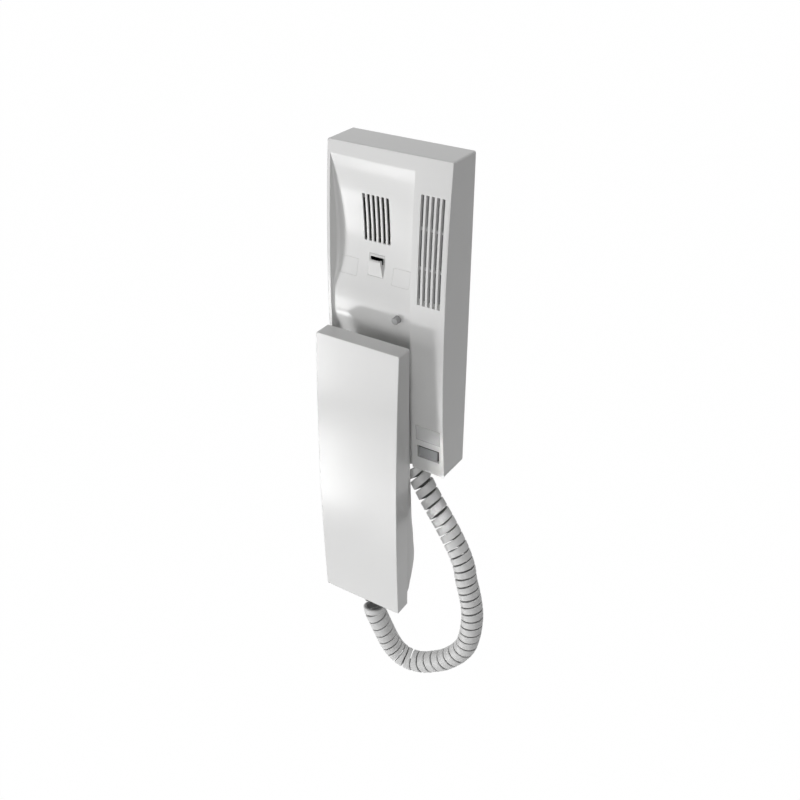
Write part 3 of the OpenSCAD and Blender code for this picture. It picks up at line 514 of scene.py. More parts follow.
class Finish:
    """One material: constants on its shader, and nodes for what changes over the surface."""

    def __init__(self, name, colour, roughness, **constants):
        self.material = bpy.data.materials.new(name)
        self.material.use_nodes = True
        self.tree = self.material.node_tree
        self.shader = self.tree.nodes["Principled BSDF"]
        self.shader.inputs["Base Color"].default_value = (*colour, 1)
        self.shader.inputs["Roughness"].default_value = roughness
        for socket, value in constants.items():
            self.shader.inputs[socket.replace("_", " ")].default_value = value
        self.places = self.node("ShaderNodeTexCoord", {}, {}, "Object")

    def node(self, kind, settings, sockets, output=0):
        made = self.tree.nodes.new(kind)
        for name, value in settings.items():
            setattr(made, name, value)
        for name, value in sockets.items():
            if isinstance(value, Signal):
                self.tree.links.new(value.socket, made.inputs[name])
            else:
                made.inputs[name].default_value = value
        return Signal(self, made.outputs[output])

    def feed(self, socket, signal):
        self.tree.links.new(signal.socket, self.shader.inputs[socket])

    def noise(self, scale, detail, roughness=0.5, places=None):
        sockets = {"Vector": places or self.places, "Scale": scale, "Detail": detail, "Roughness": roughness}
        return self.node("ShaderNodeTexNoise", {}, sockets, "Fac")

    def spread(self, signal, low, high):
        """The same signal, from low in its hollows to high on its tops."""
        sockets = {"Value": signal, "From Min": 0.25, "From Max": 0.75, "To Min": low, "To Max": high}
        return self.node("ShaderNodeMapRange", {"clamp": True}, sockets)

    def stretched(self, scale, places=None):
        return self.node("ShaderNodeMapping", {}, {"Vector": places or self.places, "Scale": scale})

    def along(self, axis, places=None):
        """One coordinate of the place on the surface, or on its map."""
        return self.node("ShaderNodeSeparateXYZ", {}, {0: places or self.places}, axis)

    def blend(self, factor, first, second):
        """From the first colour to the second; each is a signal or three numbers."""
        first, second = (c if isinstance(c, Signal) else (*c, 1) for c in (first, second))
        return self.node("ShaderNodeMix", {"data_type": "RGBA"}, {0: factor, 6: first, 7: second}, 2)

    def colour(self, grain, light, dark, mask=None, grey=0.0):
        """Tones from light to dark with the grain, and a plain grey where the mask is 1."""
        tone = self.blend(self.spread(grain, 0, 1), light, dark)
        if mask:
            tone = self.blend(mask, tone, (grey, grey, grey))
        self.feed("Base Color", tone)

    def bump(self, height, depth):
        """Height is a signal from 0 to 1, and depth its size in millimetres."""
        self.feed("Normal", self.node("ShaderNodeBump", {}, {"Height": height, "Distance": depth * MM}))


def moulded(name, light, dark, rough_low, rough_high, ior=1.5):
    """Injection-moulded plastic: a faint unevenness of tone, gloss and surface."""
    finish = Finish(name, light, (rough_low + rough_high) / 2, IOR=ior)
    finish.colour(finish.noise(22, 3), light, dark)
    finish.feed("Roughness", finish.spread(finish.noise(60, 4, 0.6), rough_low, rough_high))
    finish.bump(finish.noise(900, 3, 0.6) * 0.33 + finish.noise(70, 1) * 0.67, 0.004)
    return finish.material


def flecked(name, light, dark, scale, rough_low, rough_high, depth):
    """Rubber, paper or grained plastic: one fleck drives tone, gloss and surface."""
    finish = Finish(name, light, rough_low)
    fleck = finish.noise(scale, 5, 0.7)
    finish.colour(fleck, light, dark)
    finish.feed("Roughness", finish.spread(fleck, rough_low, rough_high))
    finish.bump(fleck, depth)
    return finish.material


def turned_metal(name, light, dark, roughness):
    """Bare metal with fine turning lines."""
    finish = Finish(name, light, roughness, Metallic=1.0)
    rings = finish.noise(2600, 2, 0.5, finish.stretched((1, 0.15, 1)))
    finish.colour(rings, light, dark)
    finish.feed("Roughness", finish.spread(rings, roughness, roughness + 0.16))
    finish.bump(rings, 0.006)
    return finish.material


def board_laminate():
    """Green laminate with lighter tracks under its varnish."""
    finish = Finish("board_laminate", (0.03, 0.16, 0.07), 0.35)
    turn = {"Vector": finish.places, "Rotation": (math.pi / 2, 0, 0)}
    upright = finish.node("ShaderNodeMapping", {}, turn)
    layout = {"Vector": upright, "Scale": 240.0, "Mortar Size": 0.12, "Brick Width": 1.6, "Row Height": 0.5}
    tracks = finish.node("ShaderNodeTexBrick", {"offset": 0.5}, layout, "Fac")
    finish.feed("Base Color", finish.blend(tracks, (0.02, 0.13, 0.06), (0.06, 0.27, 0.12)))
    finish.feed("Roughness", 0.3 + tracks * 0.1)
    finish.bump(tracks, 0.03)
    return finish.material


def cord_vinyl_with_painted_shade():
    """Soft drawn vinyl with faint lines along the cord, and painted shade on the inside of its curls."""
    finish = Finish("cord_vinyl_with_painted_shade", (0.87, 0.87, 0.865), 0.36, IOR=1.5)
    run = finish.node("ShaderNodeUVMap", {"uv_map": "along"}, {})
    inner = finish.along("X", run) > CURL_SHADE_FROM
    # Painted shade: the cord's inner side is a darker grey, standing in for the shade deep in its curls.
    finish.colour(finish.noise(120, 3), (0.87, 0.87, 0.865), (0.835, 0.835, 0.83), inner, 0.42)
    finish.feed("Roughness", finish.spread(finish.noise(260, 3), 0.36, 0.5))
    lines = finish.noise(34, 2, 0.5, finish.stretched((1, 0.02, 1), run))
    finish.bump(lines * 0.6 + finish.noise(1500, 2) * 0.4, 0.012)
    return finish.material


def shaded_plastic(name, light, dark, rough_low, rough_high, mask, grey, ior=1.5):
    """Moulded plastic with a plain grey where its mask, a function of the finish, is 1."""
    finish = Finish(name, light, (rough_low + rough_high) / 2, IOR=ior)
    grain = finish.noise(60, 4, 0.6)
    finish.colour(grain, light, dark, mask(finish), grey)
    finish.feed("Roughness", finish.spread(grain, rough_low, rough_high))
    finish.bump(grain, 0.004)
    return finish.material


# Painted shade: the key's sides below its face are near-black, standing in for the shade in the gap round
# the key.
def key_sides_painted_shade(finish):
    return finish.along("Y") > -KEY_FACE * MM


def on_ribs(finish):
    return sum(finish.along("Z").near(z * MM, RIB_T / 2 * MM) for z in RIBS_Z)


def hook_mouth_painted_shade(finish):
    """The mouth with a little room round it, up to just below the hook's face, where the hook is painted
    near-black as shade.
    """
    z, w, h = MOUTH
    across = finish.along("X").near(CRADLE_X * MM, (w / 2 + 0.3) * MM)
    upright = finish.along("Z").near(z * MM, (h / 2 + 0.2) * MM)
    return across * upright * (finish.along("Y") > (0.3 - MOUTH_LEVEL) * MM)


def window_plastic():
    """Clear plastic, seen as a thin veil over the card."""
    finish = Finish("window_plastic", (0.93, 0.93, 0.93), 0.08, IOR=1.49, Alpha=0.35)
    haze = finish.noise(300, 4, 0.6)
    finish.feed("Roughness", finish.spread(haze, 0.05, 0.13))
    finish.bump(haze, 0.002)
    return finish.material


# Where finishes change: past a share of the cord's map (painted shade inside its curls), below the key's
# face (painted shade on its sides) and on the screen's ribs
CURL_SHADE_FROM = 0.46
KEY_FACE = 25.3
RIBS_Z = (40.5, 65)
RIB_T = 1.8

white = moulded("shell_plastic", (0.8, 0.8, 0.793), (0.782, 0.782, 0.775), 0.12, 0.19, 1.52)
cord_white = cord_vinyl_with_painted_shade()
relief_white = moulded("relief_vinyl", (0.77, 0.77, 0.765), (0.74, 0.74, 0.735), 0.3, 0.4)
plunger_grey = moulded("plunger_plastic", (0.42, 0.42, 0.425), (0.39, 0.39, 0.395), 0.2, 0.3)
# The key's finish carries painted shade on its sides.
key_grey = shaded_plastic(
    "key_plastic_painted_shade", (0.4, 0.405, 0.41), (0.375, 0.38, 0.385), 0.26, 0.36, key_sides_painted_shade, 0.03)
screen_grey = shaded_plastic(
    "screen_plastic", (0.22, 0.22, 0.225), (0.2, 0.2, 0.205), 0.4, 0.55, on_ribs, 0.6)
switch_black = flecked("switch_plastic", (0.03, 0.03, 0.032), (0.02, 0.02, 0.022), 900, 0.35, 0.55, 0.01)
seal_rubber = flecked("seal_rubber", (0.028, 0.028, 0.028), (0.015, 0.015, 0.015), 700, 0.7, 0.9, 0.03)
cone = flecked("speaker_paper", (0.045, 0.043, 0.04), (0.02, 0.02, 0.02), 1400, 0.75, 0.95, 0.05)
paper = flecked("card_paper", (0.88, 0.88, 0.875), (0.84, 0.84, 0.835), 1800, 0.5, 0.62, 0.008)
terminal_grey = moulded("terminal_plastic", (0.3, 0.31, 0.32), (0.26, 0.27, 0.28), 0.35, 0.5)
connector_cream = moulded("connector_nylon", (0.78, 0.74, 0.62), (0.73, 0.69, 0.57), 0.35, 0.5)
screw_steel = turned_metal("screw_steel", (0.62, 0.62, 0.63), (0.5, 0.5, 0.51), 0.24)
capsule_metal = turned_metal("capsule_metal", (0.7, 0.7, 0.71), (0.6, 0.6, 0.61), 0.3)
clear = window_plastic()
laminate = board_laminate()

dress(cord, cord_white, "cord_white", None, "handset_cord")
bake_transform(cord)


# ---- Housing

# The shell: half its width and height, its side depth, the front's bow, the base's depth and the walls
HALF_W = 43
HALF_H = 107.5
SIDE_DEPTH = 25.4
CROWN = 5.2
FULL = SIDE_DEPTH + CROWN + 1
BASE_DEPTH = 12.7
WALL = 2.2
FLOOR_SKIN = 2
SLIT_SKIN = 1
FRONT_R = (HALF_H ** 2 + CROWN ** 2) / (2 * CROWN)
FRONT_AXIS = FRONT_R - SIDE_DEPTH - CROWN
# The cradle: its sides, middle, upper end and ridge, and the coves along its sides
CRADLE = (-40.7, 18.5)
CRADLE_X = -11.1
CRADLE_TOP = 99.5
RIDGE_Z = 3.4
COVE_SHARE = 0.26
COVE_STEPS = 8
# Sound slits: their number, width, spacing and height
CRADLE_SLITS = (6, 1.9, 3.4, 30.2)
STRIP_SLITS = (5, 1.9, 3.5, 68.4)
STRIP_SLITS_Z = 51.8
# The loudspeaker: its place and screws, the radii of ring, seat and cone, and its heights over the wall
SPEAKER_Z = 62.02
SPEAKER_SCREWS = (-21.3, 21.3)
SPEAKER_RING = 20.4
SPEAKER_SEAT = 18.15
SPEAKER_CONE = 15.4
SPEAKER_BACK = 15.3
SPEAKER_FRONT = 18.6
# The hook: its window, its mouth and throat as height and size, and the pads beside it
HOOK_Z = 32.04
HOOK_SIZE = (11.2, 14)
MOUTH = (35.2, 9.4, 4.2)
THROAT = (35.6, 6.8, 1.7)
PADS = ((-19.9, 27.94), (18.5, 27.94))
PAD_SIZE = (12.4, 10.8)
PAD_LINE = 0.24
# The plunger: its place, and the radii of its bore, collar and guide
PLUNGER = (8.4, 2.8)
PLUNGER_BORE = 2.5
PLUNGER_COLLAR = 3.55
PLUNGER_GUIDE = 5.15
# The strip on the right: label and key, the key's flange and the sleeve round it, and how short the key is
STRIP_X = 31.3
LABEL_Z = -76.4
LABEL_SIZE = (18.5, 11.7)
LABEL_DEPTH = 1.6
KEY_Z = -91.6
KEY_SIZE = (16.8, 9.8)
KEY_FLANGE = 5.9
KEY_ROOM = (19.4, 12.4)
KEY_SLEEVE = (21.8, 14.8)
KEY_SHORT = 1.4
# The cord's opening and the cover's screw, in the lower side
GLAND_X = 4.2
GLAND_HOLE = 3.55
COVER_SCREW = (-20, 16.2)


def front_height(z):
    return math.sqrt(FRONT_R ** 2 - z * z) - FRONT_AXIS


# Height of the cradle's floor over the side's depth, from the bottom (-1) over the ridge (0) to the top (1)
FLOOR = [
    (-1, -2.8), (-0.57, -4.4), (-0.3, -2.4), (-0.17, 0.1), (-0.08, 2.8), (0, 3.2), (0.09, 2.7), (0.17, 0.2),
    (0.25, -2.2), (0.33, -3.6), (0.49, -4.3), (0.73, -2.8), (0.9, -0.8),
    (1, front_height(CRADLE_TOP) - SIDE_DEPTH + 0.12),
]


def floor_height(z):
    share = (z - RIDGE_Z) / ((CRADLE_TOP - RIDGE_Z) if z >= RIDGE_Z else (HALF_H + RIDGE_Z))
    return SIDE_DEPTH + smooth_curve(FLOOR, share)


# The cradle's floor at the hook's mouth
MOUTH_LEVEL = floor_height(HOOK_Z + 4)


def bowed(name, x, z, w, h, depth, back, rows):
    """A block with its front bowed as the housing's, a depth below it, down to a flat back."""
    def form(u, v):
        height = z - h / 2 + h * v
        return x - w / 2 + w * u, front_height(height) - depth, height
    return deepen(skin(name, 2, rows, form), back)


def scoop(name, grow):
    """The room over the cradle's floor, grown by a wall."""
    low, high = -HALF_H - 2, CRADLE_TOP
    segments = 2 * COVE_STEPS + 1

    def form(u, v):
        i = round(u * segments)
        z = low + (high - low) * v
        h = floor_height(z) - grow
        c = max(0.05, COVE_SHARE * (front_height(z) - floor_height(z))) + grow
        if i <= COVE_STEPS:
            a = math.pi / 2 * i / COVE_STEPS
            return CRADLE[0] - grow + c - c * math.cos(a), h + c - c * math.sin(a), z
        a = math.pi / 2 * (segments - i) / COVE_STEPS
        return CRADLE[1] + grow - c + c * math.cos(a), h + c - c * math.sin(a), z
    return deepen(skin(name, segments, 144, form), FULL + 2)


def round_corners(piece, radius):
    """Rounds the housing's four corners, seen from the front."""
    def corner(edge):
        a, b = (v.co / MM for v in edge.verts)
        at_corner = all(abs(abs(p.x) - HALF_W) < 0.01 and abs(abs(p.z) - HALF_H) < 0.01 for p in (a, b))
        return at_corner and abs(a.y - b.y) > 2
    edit(piece, "EDGE", corner)
    bpy.ops.mesh.bevel(offset=radius * MM, segments=5, affect="EDGES")
    bpy.ops.object.mode_set(mode="OBJECT")


def slit_row(name, x, z, count, w, pitch, h, h0):
    """A row of slits side by side, as one tool."""
    slits = [block(name, x + (i - (count - 1) / 2) * pitch, z, w, h, h0, FULL) for i in range(count)]
    return together(name, *slits)


def raise_bosses(cover):
    """What stands behind the front; gives the height of the key's flange."""
    flange = front_height(KEY_Z - KEY_FLANGE) - WALL - 0.2
    fuse(cover, rod("speaker_ring", CRADLE_X, SPEAKER_Z, SPEAKER_RING, SPEAKER_BACK, SIDE_DEPTH, 96))
    for side in SPEAKER_SCREWS:
        fuse(cover, rod("speaker_boss", CRADLE_X + side, SPEAKER_Z, 3, SPEAKER_BACK, SIDE_DEPTH))
    fuse(cover, rod("plunger_guide", *PLUNGER, PLUNGER_GUIDE, 15.6, 27.1))
    fuse(cover, block("key_sleeve", STRIP_X, KEY_Z, *KEY_SLEEVE, flange - 4, flange + 2))
    fuse(cover, block("label_back", STRIP_X, LABEL_Z, 20.9, 14.1, 23, 26.4))
    return flange


def bore_bosses(cover, flange):
    """The seats of loudspeaker, plunger, key and base hooks behind the front."""
    below = SPEAKER_BACK - 1
    cut(cover, rod("speaker_seat", CRADLE_X, SPEAKER_Z, SPEAKER_SEAT, below, SPEAKER_FRONT, 96))
    pocket = rod("speaker_pocket", CRADLE_X, SPEAKER_Z, SPEAKER_CONE, below, SIDE_DEPTH, 96)
    fuse(pocket, block("slit_pocket", CRADLE_X, SPEAKER_Z, 20.6, 31.6, 18, SIDE_DEPTH))
    cut(cover, cut(pocket, scoop("slit_skin", SLIT_SKIN)))
    for side in SPEAKER_SCREWS:
        cut(cover, rod("speaker_thread", CRADLE_X + side, SPEAKER_Z, 1.15, below, 18.3, 24))
    cut(cover, rod("collar_room", *PLUNGER, PLUNGER_COLLAR, 14.6, 26.15))
    cut(cover, block("key_room", STRIP_X, KEY_Z, *KEY_ROOM, flange - 5, flange + 0.05))
    for side in (-22, 22):
        cut(cover, block("base_hook_pocket", side, 105.7, 9.6, 1.6, 16.2, 18.6))


def make_cover():
    """The bowed front with its scooped cradle, slits, windows, recesses and pads."""
    cover = bowed("front_cover_shell", 0, 0, 2 * HALF_W, 2 * HALF_H, 0, BASE_DEPTH, 112)
    round_corners(cover, 1.2)
    round_edges(cover, 0.5, lambda p: -p.y > SIDE_DEPTH - 0.1)
    inside = bowed("cover_inside", 0, 0, 2 * (HALF_W - WALL), 2 * (HALF_H - WALL), WALL, BASE_DEPTH - 1, 60)
    cut(inside, scoop("scoop_back", FLOOR_SKIN))
    cut(cover, inside)
    flange = raise_bosses(cover)
    cut(cover, scoop("scoop_front", 0))
    bore_bosses(cover, flange)
    cut(cover, slit_row("cradle_slits", CRADLE_X, SPEAKER_Z, *CRADLE_SLITS, 14))
    cut(cover, slit_row("strip_slits", STRIP_X, STRIP_SLITS_Z, *STRIP_SLITS, 18))
    cut(cover, block("hook_window", CRADLE_X, HOOK_Z, *HOOK_SIZE, 12, FULL))
    cut(cover, rod("plunger_bore", *PLUNGER, PLUNGER_BORE, 14, FULL))
    label_pocket = block("label_pocket", STRIP_X, LABEL_Z, *LABEL_SIZE, SIDE_DEPTH, FULL)
    cut(cover, cut(label_pocket, bowed("label_seat", 0, 0, 90, 220, LABEL_DEPTH, 0, 110)))
    cut(cover, block("key_window", STRIP_X, KEY_Z, *KEY_SIZE, 12, FULL))
    cut(cover, upright_rod("gland_hole", GLAND_X, BASE_DEPTH, GLAND_HOLE, -HALF_H - 1, -HALF_H + 4))
    cut(cover, upright_rod("screw_well", *COVER_SCREW, 2.75, -HALF_H - 1, -HALF_H + 1))
    cut(cover, upright_rod("screw_hole", *COVER_SCREW, 1.65, -HALF_H - 1, -HALF_H + 4))

    def shows(p):
        return -p.y > floor_height(p.z) - 0.3 or -p.y > front_height(p.z) - 0.1 or p.z < -HALF_H + 0.05
    round_edges(cover, 0.15, shows, 2)
    w, h = PAD_SIZE
    for side, z in PADS:
        ring = block("pad_ring", CRADLE_X + side, z, w, h, 14, FULL)
        cut(ring, block("pad_middle", CRADLE_X + side, z, w - PAD_LINE, h - PAD_LINE, 13, FULL + 1))
        cut(cover, keep_within(ring, scoop("pad_depth", 0.25)))
    return shade(cover)


def make_hook():
    """The hook with its mouth opened wide into the dark of the housing."""
    hook = traced("cradle_hook", "cradle_hook_shell")
    cut(hook, block("hook_mouth", CRADLE_X, *MOUTH, 10, MOUTH_LEVEL + 0.9))
    cut(hook, block("hook_throat", CRADLE_X, *THROAT, 20, MOUTH_LEVEL + 2.1))
    return soften(hook, 0.2)


def make_key():
    """The key, a little short of its window at the top and on the right."""
    key = traced("door_button", "grey_key")
    right = STRIP_X + KEY_SIZE[0] / 2 - KEY_SHORT
    top = KEY_Z + KEY_SIZE[1] / 2 - KEY_SHORT
    for point in key.data.vertices:
        if point.co.x > right * MM:
            point.co.x -= KEY_SHORT * MM
        if point.co.z > top * MM:
            point.co.z -= KEY_SHORT * MM
    return soften(key, 0.3)


dress(make_cover(), white, "shell_white", "housing", "front_cover")
dress(soften(traced("rear_base", "rear_base_shell"), 0.28), white, "shell_white", "housing", "rear_base")
# The hook's finish is toned darker than the shell's white, and painted near-black as shade inside its mouth.
hook_white_painted_shade = shaded_plastic(
    "hook_plastic_painted_shade", (0.72, 0.72, 0.713), (0.7, 0.7, 0.693), 0.16, 0.26, hook_mouth_painted_shade, 0.02, 1.52)
dress(make_hook(), hook_white_painted_shade, "shell_white", "housing", "cradle_hook")
relief = soften(traced("cord_grommet", "housing_relief"), 0.3)
dress(relief, relief_white, "cord_white", "housing", "cord_grommet")
plunger = soften(traced("hook_plunger", "grey_plunger"), 0.15)
dress(plunger, plunger_grey, "plunger_grey", "plunger", "hook_plunger")
dress(make_key(), key_grey, "key_grey", "key", "door_button")


# ---- Handset

# The middle of the handset's back edge: x, the height over the wall and z
HANDSET = (-6.66, 39.7, -113.3)
H_HALF_W = 31
H_HALF_H = 105
# The back shell, inset in the front: half its width and height, its wall and its rounding
LID_HALF_W = 27.6
LID_HALF_H = 101.6
LID_WALL = 1.8
LID_ROUND = 1.8
ROUND_STEPS = 6
# Along the handset from its middle: earpiece, microphone, screws and the slot for the hook
EAR_Z = 78
MIC_Z = -66.04
SCREWS_Z = (52, -88)
SLOT = (1.16, 35.44)
SLOT_SIZE = (13, 9)
SLOT_BOX = (16, 12)
SLOT_DEPTH = 5
# Tools that go through the back shell start this far behind the handset's back edge
BEHIND = -20

# Height of the back shell over the handset's back edge, from the lower end (-1) to the upper (1)
BACK = [
    (-1, 0.4), (-0.97, 6.9), (-0.9, 10.1), (-0.82, 12.8), (-0.74, 14.8), (-0.65, 15.1), (-0.55, 13.9),
    (-0.46, 13.1), (-0.36, 11.5), (-0.18, 10.3), (0.12, 8.3), (0.32, 7.4), (0.63, 6.5), (0.82, 6),
    (0.94, 4.8), (0.98, 3.2), (1, 0.4),
]


def back_height(z):
    return smooth_curve(BACK, z / LID_HALF_H)


def back_form(name, inset):
    """The back shell's outer form, or its inside when drawn in by a wall."""
    segments = 2 * ROUND_STEPS + 1

    def form(u, v):
        i = round(u * segments)
        share = 2 * v - 1
        z = LID_HALF_H * (0.5 * share + 0.5 * math.sin(math.pi / 2 * share))
        half = LID_HALF_W - inset
        h = max(back_height(z) - inset, 0.3)
        r = min(LID_ROUND, h * 0.6)
        a = math.pi / 2 * min(i, segments - i) / ROUND_STEPS
        x = (half - r + r * math.cos(a)) * (-1 if i <= ROUND_STEPS else 1)
        place = z * (LID_HALF_H - inset) / LID_HALF_H
        return HANDSET[0] + x, HANDSET[1] - (h - r + r * math.sin(a)), HANDSET[2] + place
    return deepen(skin(name, segments, 110, form), HANDSET[1] + 2.95 + inset * 0.5)


def back_rod(name, z, r, h0, h1, x=0, sides=48):
    """A rod square to the handset's back, between two heights towards the handset's front."""
    return rod(name, HANDSET[0] + x, HANDSET[2] + z, r, HANDSET[1] + h0, HANDSET[1] + h1, sides)


def back_block(name, x, z, w, h, h0, h1):
    """A block on the handset's back, in the same heights."""
    return block(name, HANDSET[0] + x, HANDSET[2] + z, w, h, HANDSET[1] + h0, HANDSET[1] + h1)


def make_handset_back():
    """The back shell with its mouthpiece bulge, sound holes, hook slot and inner seats."""
    shell = back_form("handset_back_shell", 0)
    round_edges(shell, 0.3, lambda p: -p.y < HANDSET[1] - 0.5)
    cut(shell, back_form("back_inside", LID_WALL))
    slot_floor = SLOT_DEPTH - back_height(SLOT[1])
    bosses = [back_rod("lid_post", z, 3.6, BEHIND, -0.05) for z in SCREWS_Z]
    bosses.append(back_rod("ear_ring", EAR_Z, 17.1, BEHIND, -0.2, sides=96))
    bosses.append(back_rod("mouth_ring", MIC_Z, 8, BEHIND, -7))
    bosses.append(back_block("slot_box", *SLOT, *SLOT_BOX, BEHIND, slot_floor + 1.5))
    for boss in bosses:
        fuse(shell, keep_within(boss, back_form("boss_limit", LID_WALL / 2)))
    for z in SCREWS_Z:
        cut(shell, back_rod("lid_screw_bore", z, 1.35, BEHIND, 1, sides=24))
        cut(shell, back_rod("lid_screw_seat", z, 2.7, BEHIND, -1.5))
    for k in range(7):
        a, reach = math.pi / 3 * k, 5 if k else 0
        z = EAR_Z + reach * math.sin(a)
        cut(shell, back_rod("ear_hole", z, 0.9, BEHIND, 0, reach * math.cos(a), 20))
    cut(shell, back_rod("ear_seat", EAR_Z, 14.65, -3.2, 1, sides=96))
    cut(shell, back_rod("ear_room", EAR_Z, 12, -4, 1, sides=96))
    for x in (-2.4, 0, 2.4):
        cut(shell, back_block("mouth_slit", x, MIC_Z, 1.2, 6, BEHIND, -11))
    cut(shell, back_rod("boot_seat", MIC_Z, 6.55, -12, 0))
    cut(shell, back_block("hook_slot", *SLOT, *SLOT_SIZE, BEHIND, slot_floor))
    round_edges(shell, 0.25, lambda p: -p.y < HANDSET[1] - back_height(p.z - HANDSET[2]) + 0.2, 2)
    return shade(shell)


def make_handset_front():
    """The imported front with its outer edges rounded."""
    shell = traced("handset_front", "handset_front_shell")

    def outside(p):
        return abs(p.x - HANDSET[0]) > H_HALF_W - 1.3 or abs(p.z - HANDSET[2]) > H_HALF_H - 1.3
    round_edges(shell, 0.5, outside)
    return shade(shell)


def make_handset_screws():
    """Both screws with a cross recess."""
    screws = traced("handset_screws", "back_screws")
    for z in SCREWS_Z:
        for w, h in ((2.6, 0.6), (0.6, 2.6)):
            cut(screws, back_block("recess", 0, z, w, h, -4, -2.2))
    return soften(screws, 0.1)


dress(make_handset_front(), white, "shell_white", "handset", "handset_front")
dress(make_handset_back(), white, "shell_white", "handset", "handset_back")
dress(make_handset_screws(), screw_steel, "screw_steel", "handset", "handset_screws")
relief = soften(traced("handset_grommet", "handset_relief"), 0.3)
dress(relief, relief_white, "cord_white", "handset", "handset_grommet")


# ---- Everything else that is carried over

def paint(finish, slot, *nodes):
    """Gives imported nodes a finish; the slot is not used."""
    for node in nodes:
        piece = frame["nodes"][node]
        piece.data.materials.clear()
        piece.data.materials.append(finish)


paint(screen_grey, "screen_grey", "slit_screen")
paint(paper, "card_white", "name_card")
paint(clear, "window_clear", "name_window")
paint(cone, "speaker_dark", "speaker", "earpiece")
paint(seal_rubber, "seal_rubber", "speaker_gasket", "earpiece_gasket", "microphone_boot")
paint(switch_black, "switch_dark", "hook_switch", "button_switch")
paint(screw_steel, "screw_steel", "speaker_screws", "board_screws", "plunger_spring", "button_spring",
      "terminal_screws", "cover_screw")
paint(capsule_metal, "microphone_metal", "microphone")
paint(laminate, "board_green", "circuit_board")
paint(terminal_grey, "terminal_grey", "terminal_block")
paint(connector_cream, "connector_cream", "cord_connector")


def compress(node):
    """Gives a spring its own copy of its mesh; nothing shortens it here."""
    spring = frame["nodes"][node]
    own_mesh(spring)


compress("plunger_spring")
compress("button_spring")

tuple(cord_line[0])
[tuple(p) for p in cord_line]


# ---- Floor, background and light

FLOOR_Z = -2.6
# The point that the soft panels face
AIM = Vector((0.01, -0.03, -0.09))
SEEN = ("Is Camera Ray", "Is Glossy Ray", "Is Transmission Ray")


def seen_directly(tree):
    """1 for rays that show the background itself, 0 for rays that gather light."""
    path = tree.nodes.new("ShaderNodeLightPath")
    total = path.outputs[SEEN[0]]
    for kind in SEEN[1:]:
        either = tree.nodes.new("ShaderNodeMath")
        either.operation = "MAXIMUM"
        tree.links.new(total, either.inputs[0])
        tree.links.new(path.outputs[kind], either.inputs[1])
        total = either.outputs[0]
    return total


def mix_in(tree, first, second, share, end):
    """Feeds an output with the first shader, and with the second by its share."""
    mixed = tree.nodes.new("ShaderNodeMixShader")
    tree.links.new(share, mixed.inputs[0])
    tree.links.new(first, mixed.inputs[1])
    tree.links.new(second, mixed.inputs[2])
    tree.links.new(mixed.outputs[0], end)


def make_floor():
    """A pale floor far below, that the camera sees as plain white."""
    put_down()
    bpy.ops.mesh.primitive_plane_add(size=60, location=(0, 0, FLOOR_Z))
    floor = settle(bpy.context.object, "floor")
    finish = Finish("floor_pale", (0.82, 0.82, 0.82), 0.7)
    finish.colour(finish.noise(3, 4), (0.83, 0.83, 0.83), (0.81, 0.81, 0.81))
    tree = finish.tree
    glow = tree.nodes.new("ShaderNodeEmission")
    glow.inputs["Color"].default_value = (1, 1, 1, 1)
    glow.inputs["Strength"].default_value = 1.01
    share = Signal(finish, seen_directly(tree)) * 0.985
    mix_in(tree, finish.shader.outputs[0], glow.outputs[0], share.socket,
           tree.nodes["Material Output"].inputs["Surface"])
    floor.data.materials.append(finish.material)


def make_world():
    """Dim light from all round, and a white background behind it."""
    world = bpy.data.worlds.new("studio")
    bpy.context.scene.world = world
    world.use_nodes = True
    tree = world.node_tree
    room = tree.nodes["Background"]
    room.inputs["Color"].default_value = (1, 1, 1, 1)
    room.inputs["Strength"].default_value = 0.12
    seen = tree.nodes.new("ShaderNodeBackground")
    seen.inputs["Color"].default_value = (1, 1, 1, 1)
    mix_in(tree, room.outputs[0], seen.outputs[0], seen_directly(tree),
           tree.nodes["World Output"].inputs["Surface"])


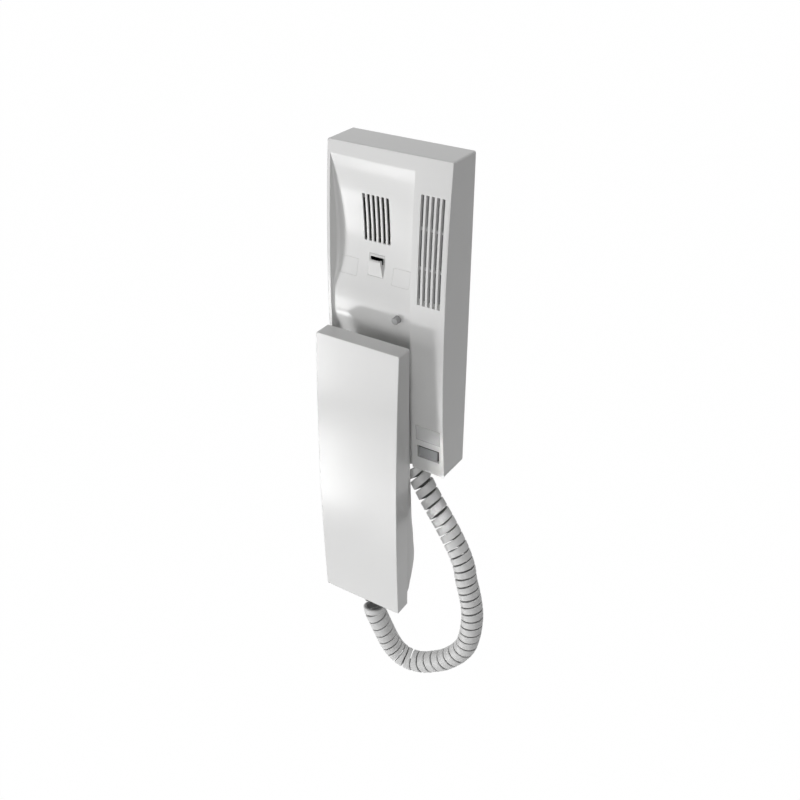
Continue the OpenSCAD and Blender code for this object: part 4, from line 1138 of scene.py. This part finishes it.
def panel(name, place, width, height, radiance):
    """A rectangular lamp that the camera doesn't see."""
    put_down()
    bpy.ops.object.light_add(type="AREA", location=place)
    lamp = bpy.context.object
    lamp.name = name
    lamp.data.shape = "RECTANGLE"
    lamp.data.size = width
    lamp.data.size_y = height
    lamp.data.energy = radiance * math.pi * width * height
    lamp.visible_camera = False
    return lamp


def softbox(name, azimuths, elevations, radiance, distance=3):
    """A soft panel that faces the phone, between two azimuths and two elevations in degrees.

    Azimuth 0 is in front of the phone and 90 to its right."""
    a, e = (math.radians(sum(pair) / 2) for pair in (azimuths, elevations))
    half_a, half_e = (math.radians(pair[1] - pair[0]) / 2 for pair in (azimuths, elevations))
    back = Vector((math.sin(a) * math.cos(e), -math.cos(a) * math.cos(e), math.sin(e)))
    width = 2 * distance * math.tan(half_a) * math.cos(e)
    height = 2 * distance * math.tan(half_e)
    lamp = panel(name, AIM + back * distance, width, height, radiance)
    lamp.rotation_mode = "QUATERNION"
    lamp.rotation_quaternion = back.to_track_quat("Z", "Y")


def snoot(name, place, size, spread, radiance):
    """A small panel in front with a narrow beam towards the wall; place and size in millimetres."""
    lamp = panel(name, [v * MM for v in place], size[0] * MM, size[1] * MM, radiance)
    lamp.rotation_euler = (math.pi / 2, 0, 0)
    lamp.data.spread = math.radians(spread)


make_floor()
make_world()
softbox("panel_low_front", (-46, -26), (-27, -12), 3)
softbox("panel_low_gap", (-46, -26), (-30, -27), 1.6)
softbox("panel_low_middle", (-46, -26), (-39, -30), 2.9)
softbox("panel_low_lower", (-46, -26), (-46, -39), 1.8)
snoot("strip_snoot", (45, -150, -112), (22, 74), 10, 0.44)
softbox("panel_low_foot", (-46, -26), (-54, -46), 2)
softbox("panel_low_right", (-34, -26), (-43, -36), 2.2, 2.9)
softbox("panel_front_top", (-46, -26), (-12, -4), 2.8)
softbox("panel_front_level", (-46, -22), (-4, 14), 2.6)
softbox("panel_left_upper", (-47, -36), (-26.5, -20), 6.2, 2.9)
softbox("panel_left_lower", (-47, -36), (-39.5, -30.5), 5.6, 2.9)
softbox("panel_fill", (20, 32), (-10, 25), 5.2)
softbox("panel_top", (-30, 30), (55, 85), 2.3)
softbox("panel_back_top", (165, 195), (52, 74), 4.2)

bpy.context.scene.view_settings.view_transform = "Standard"
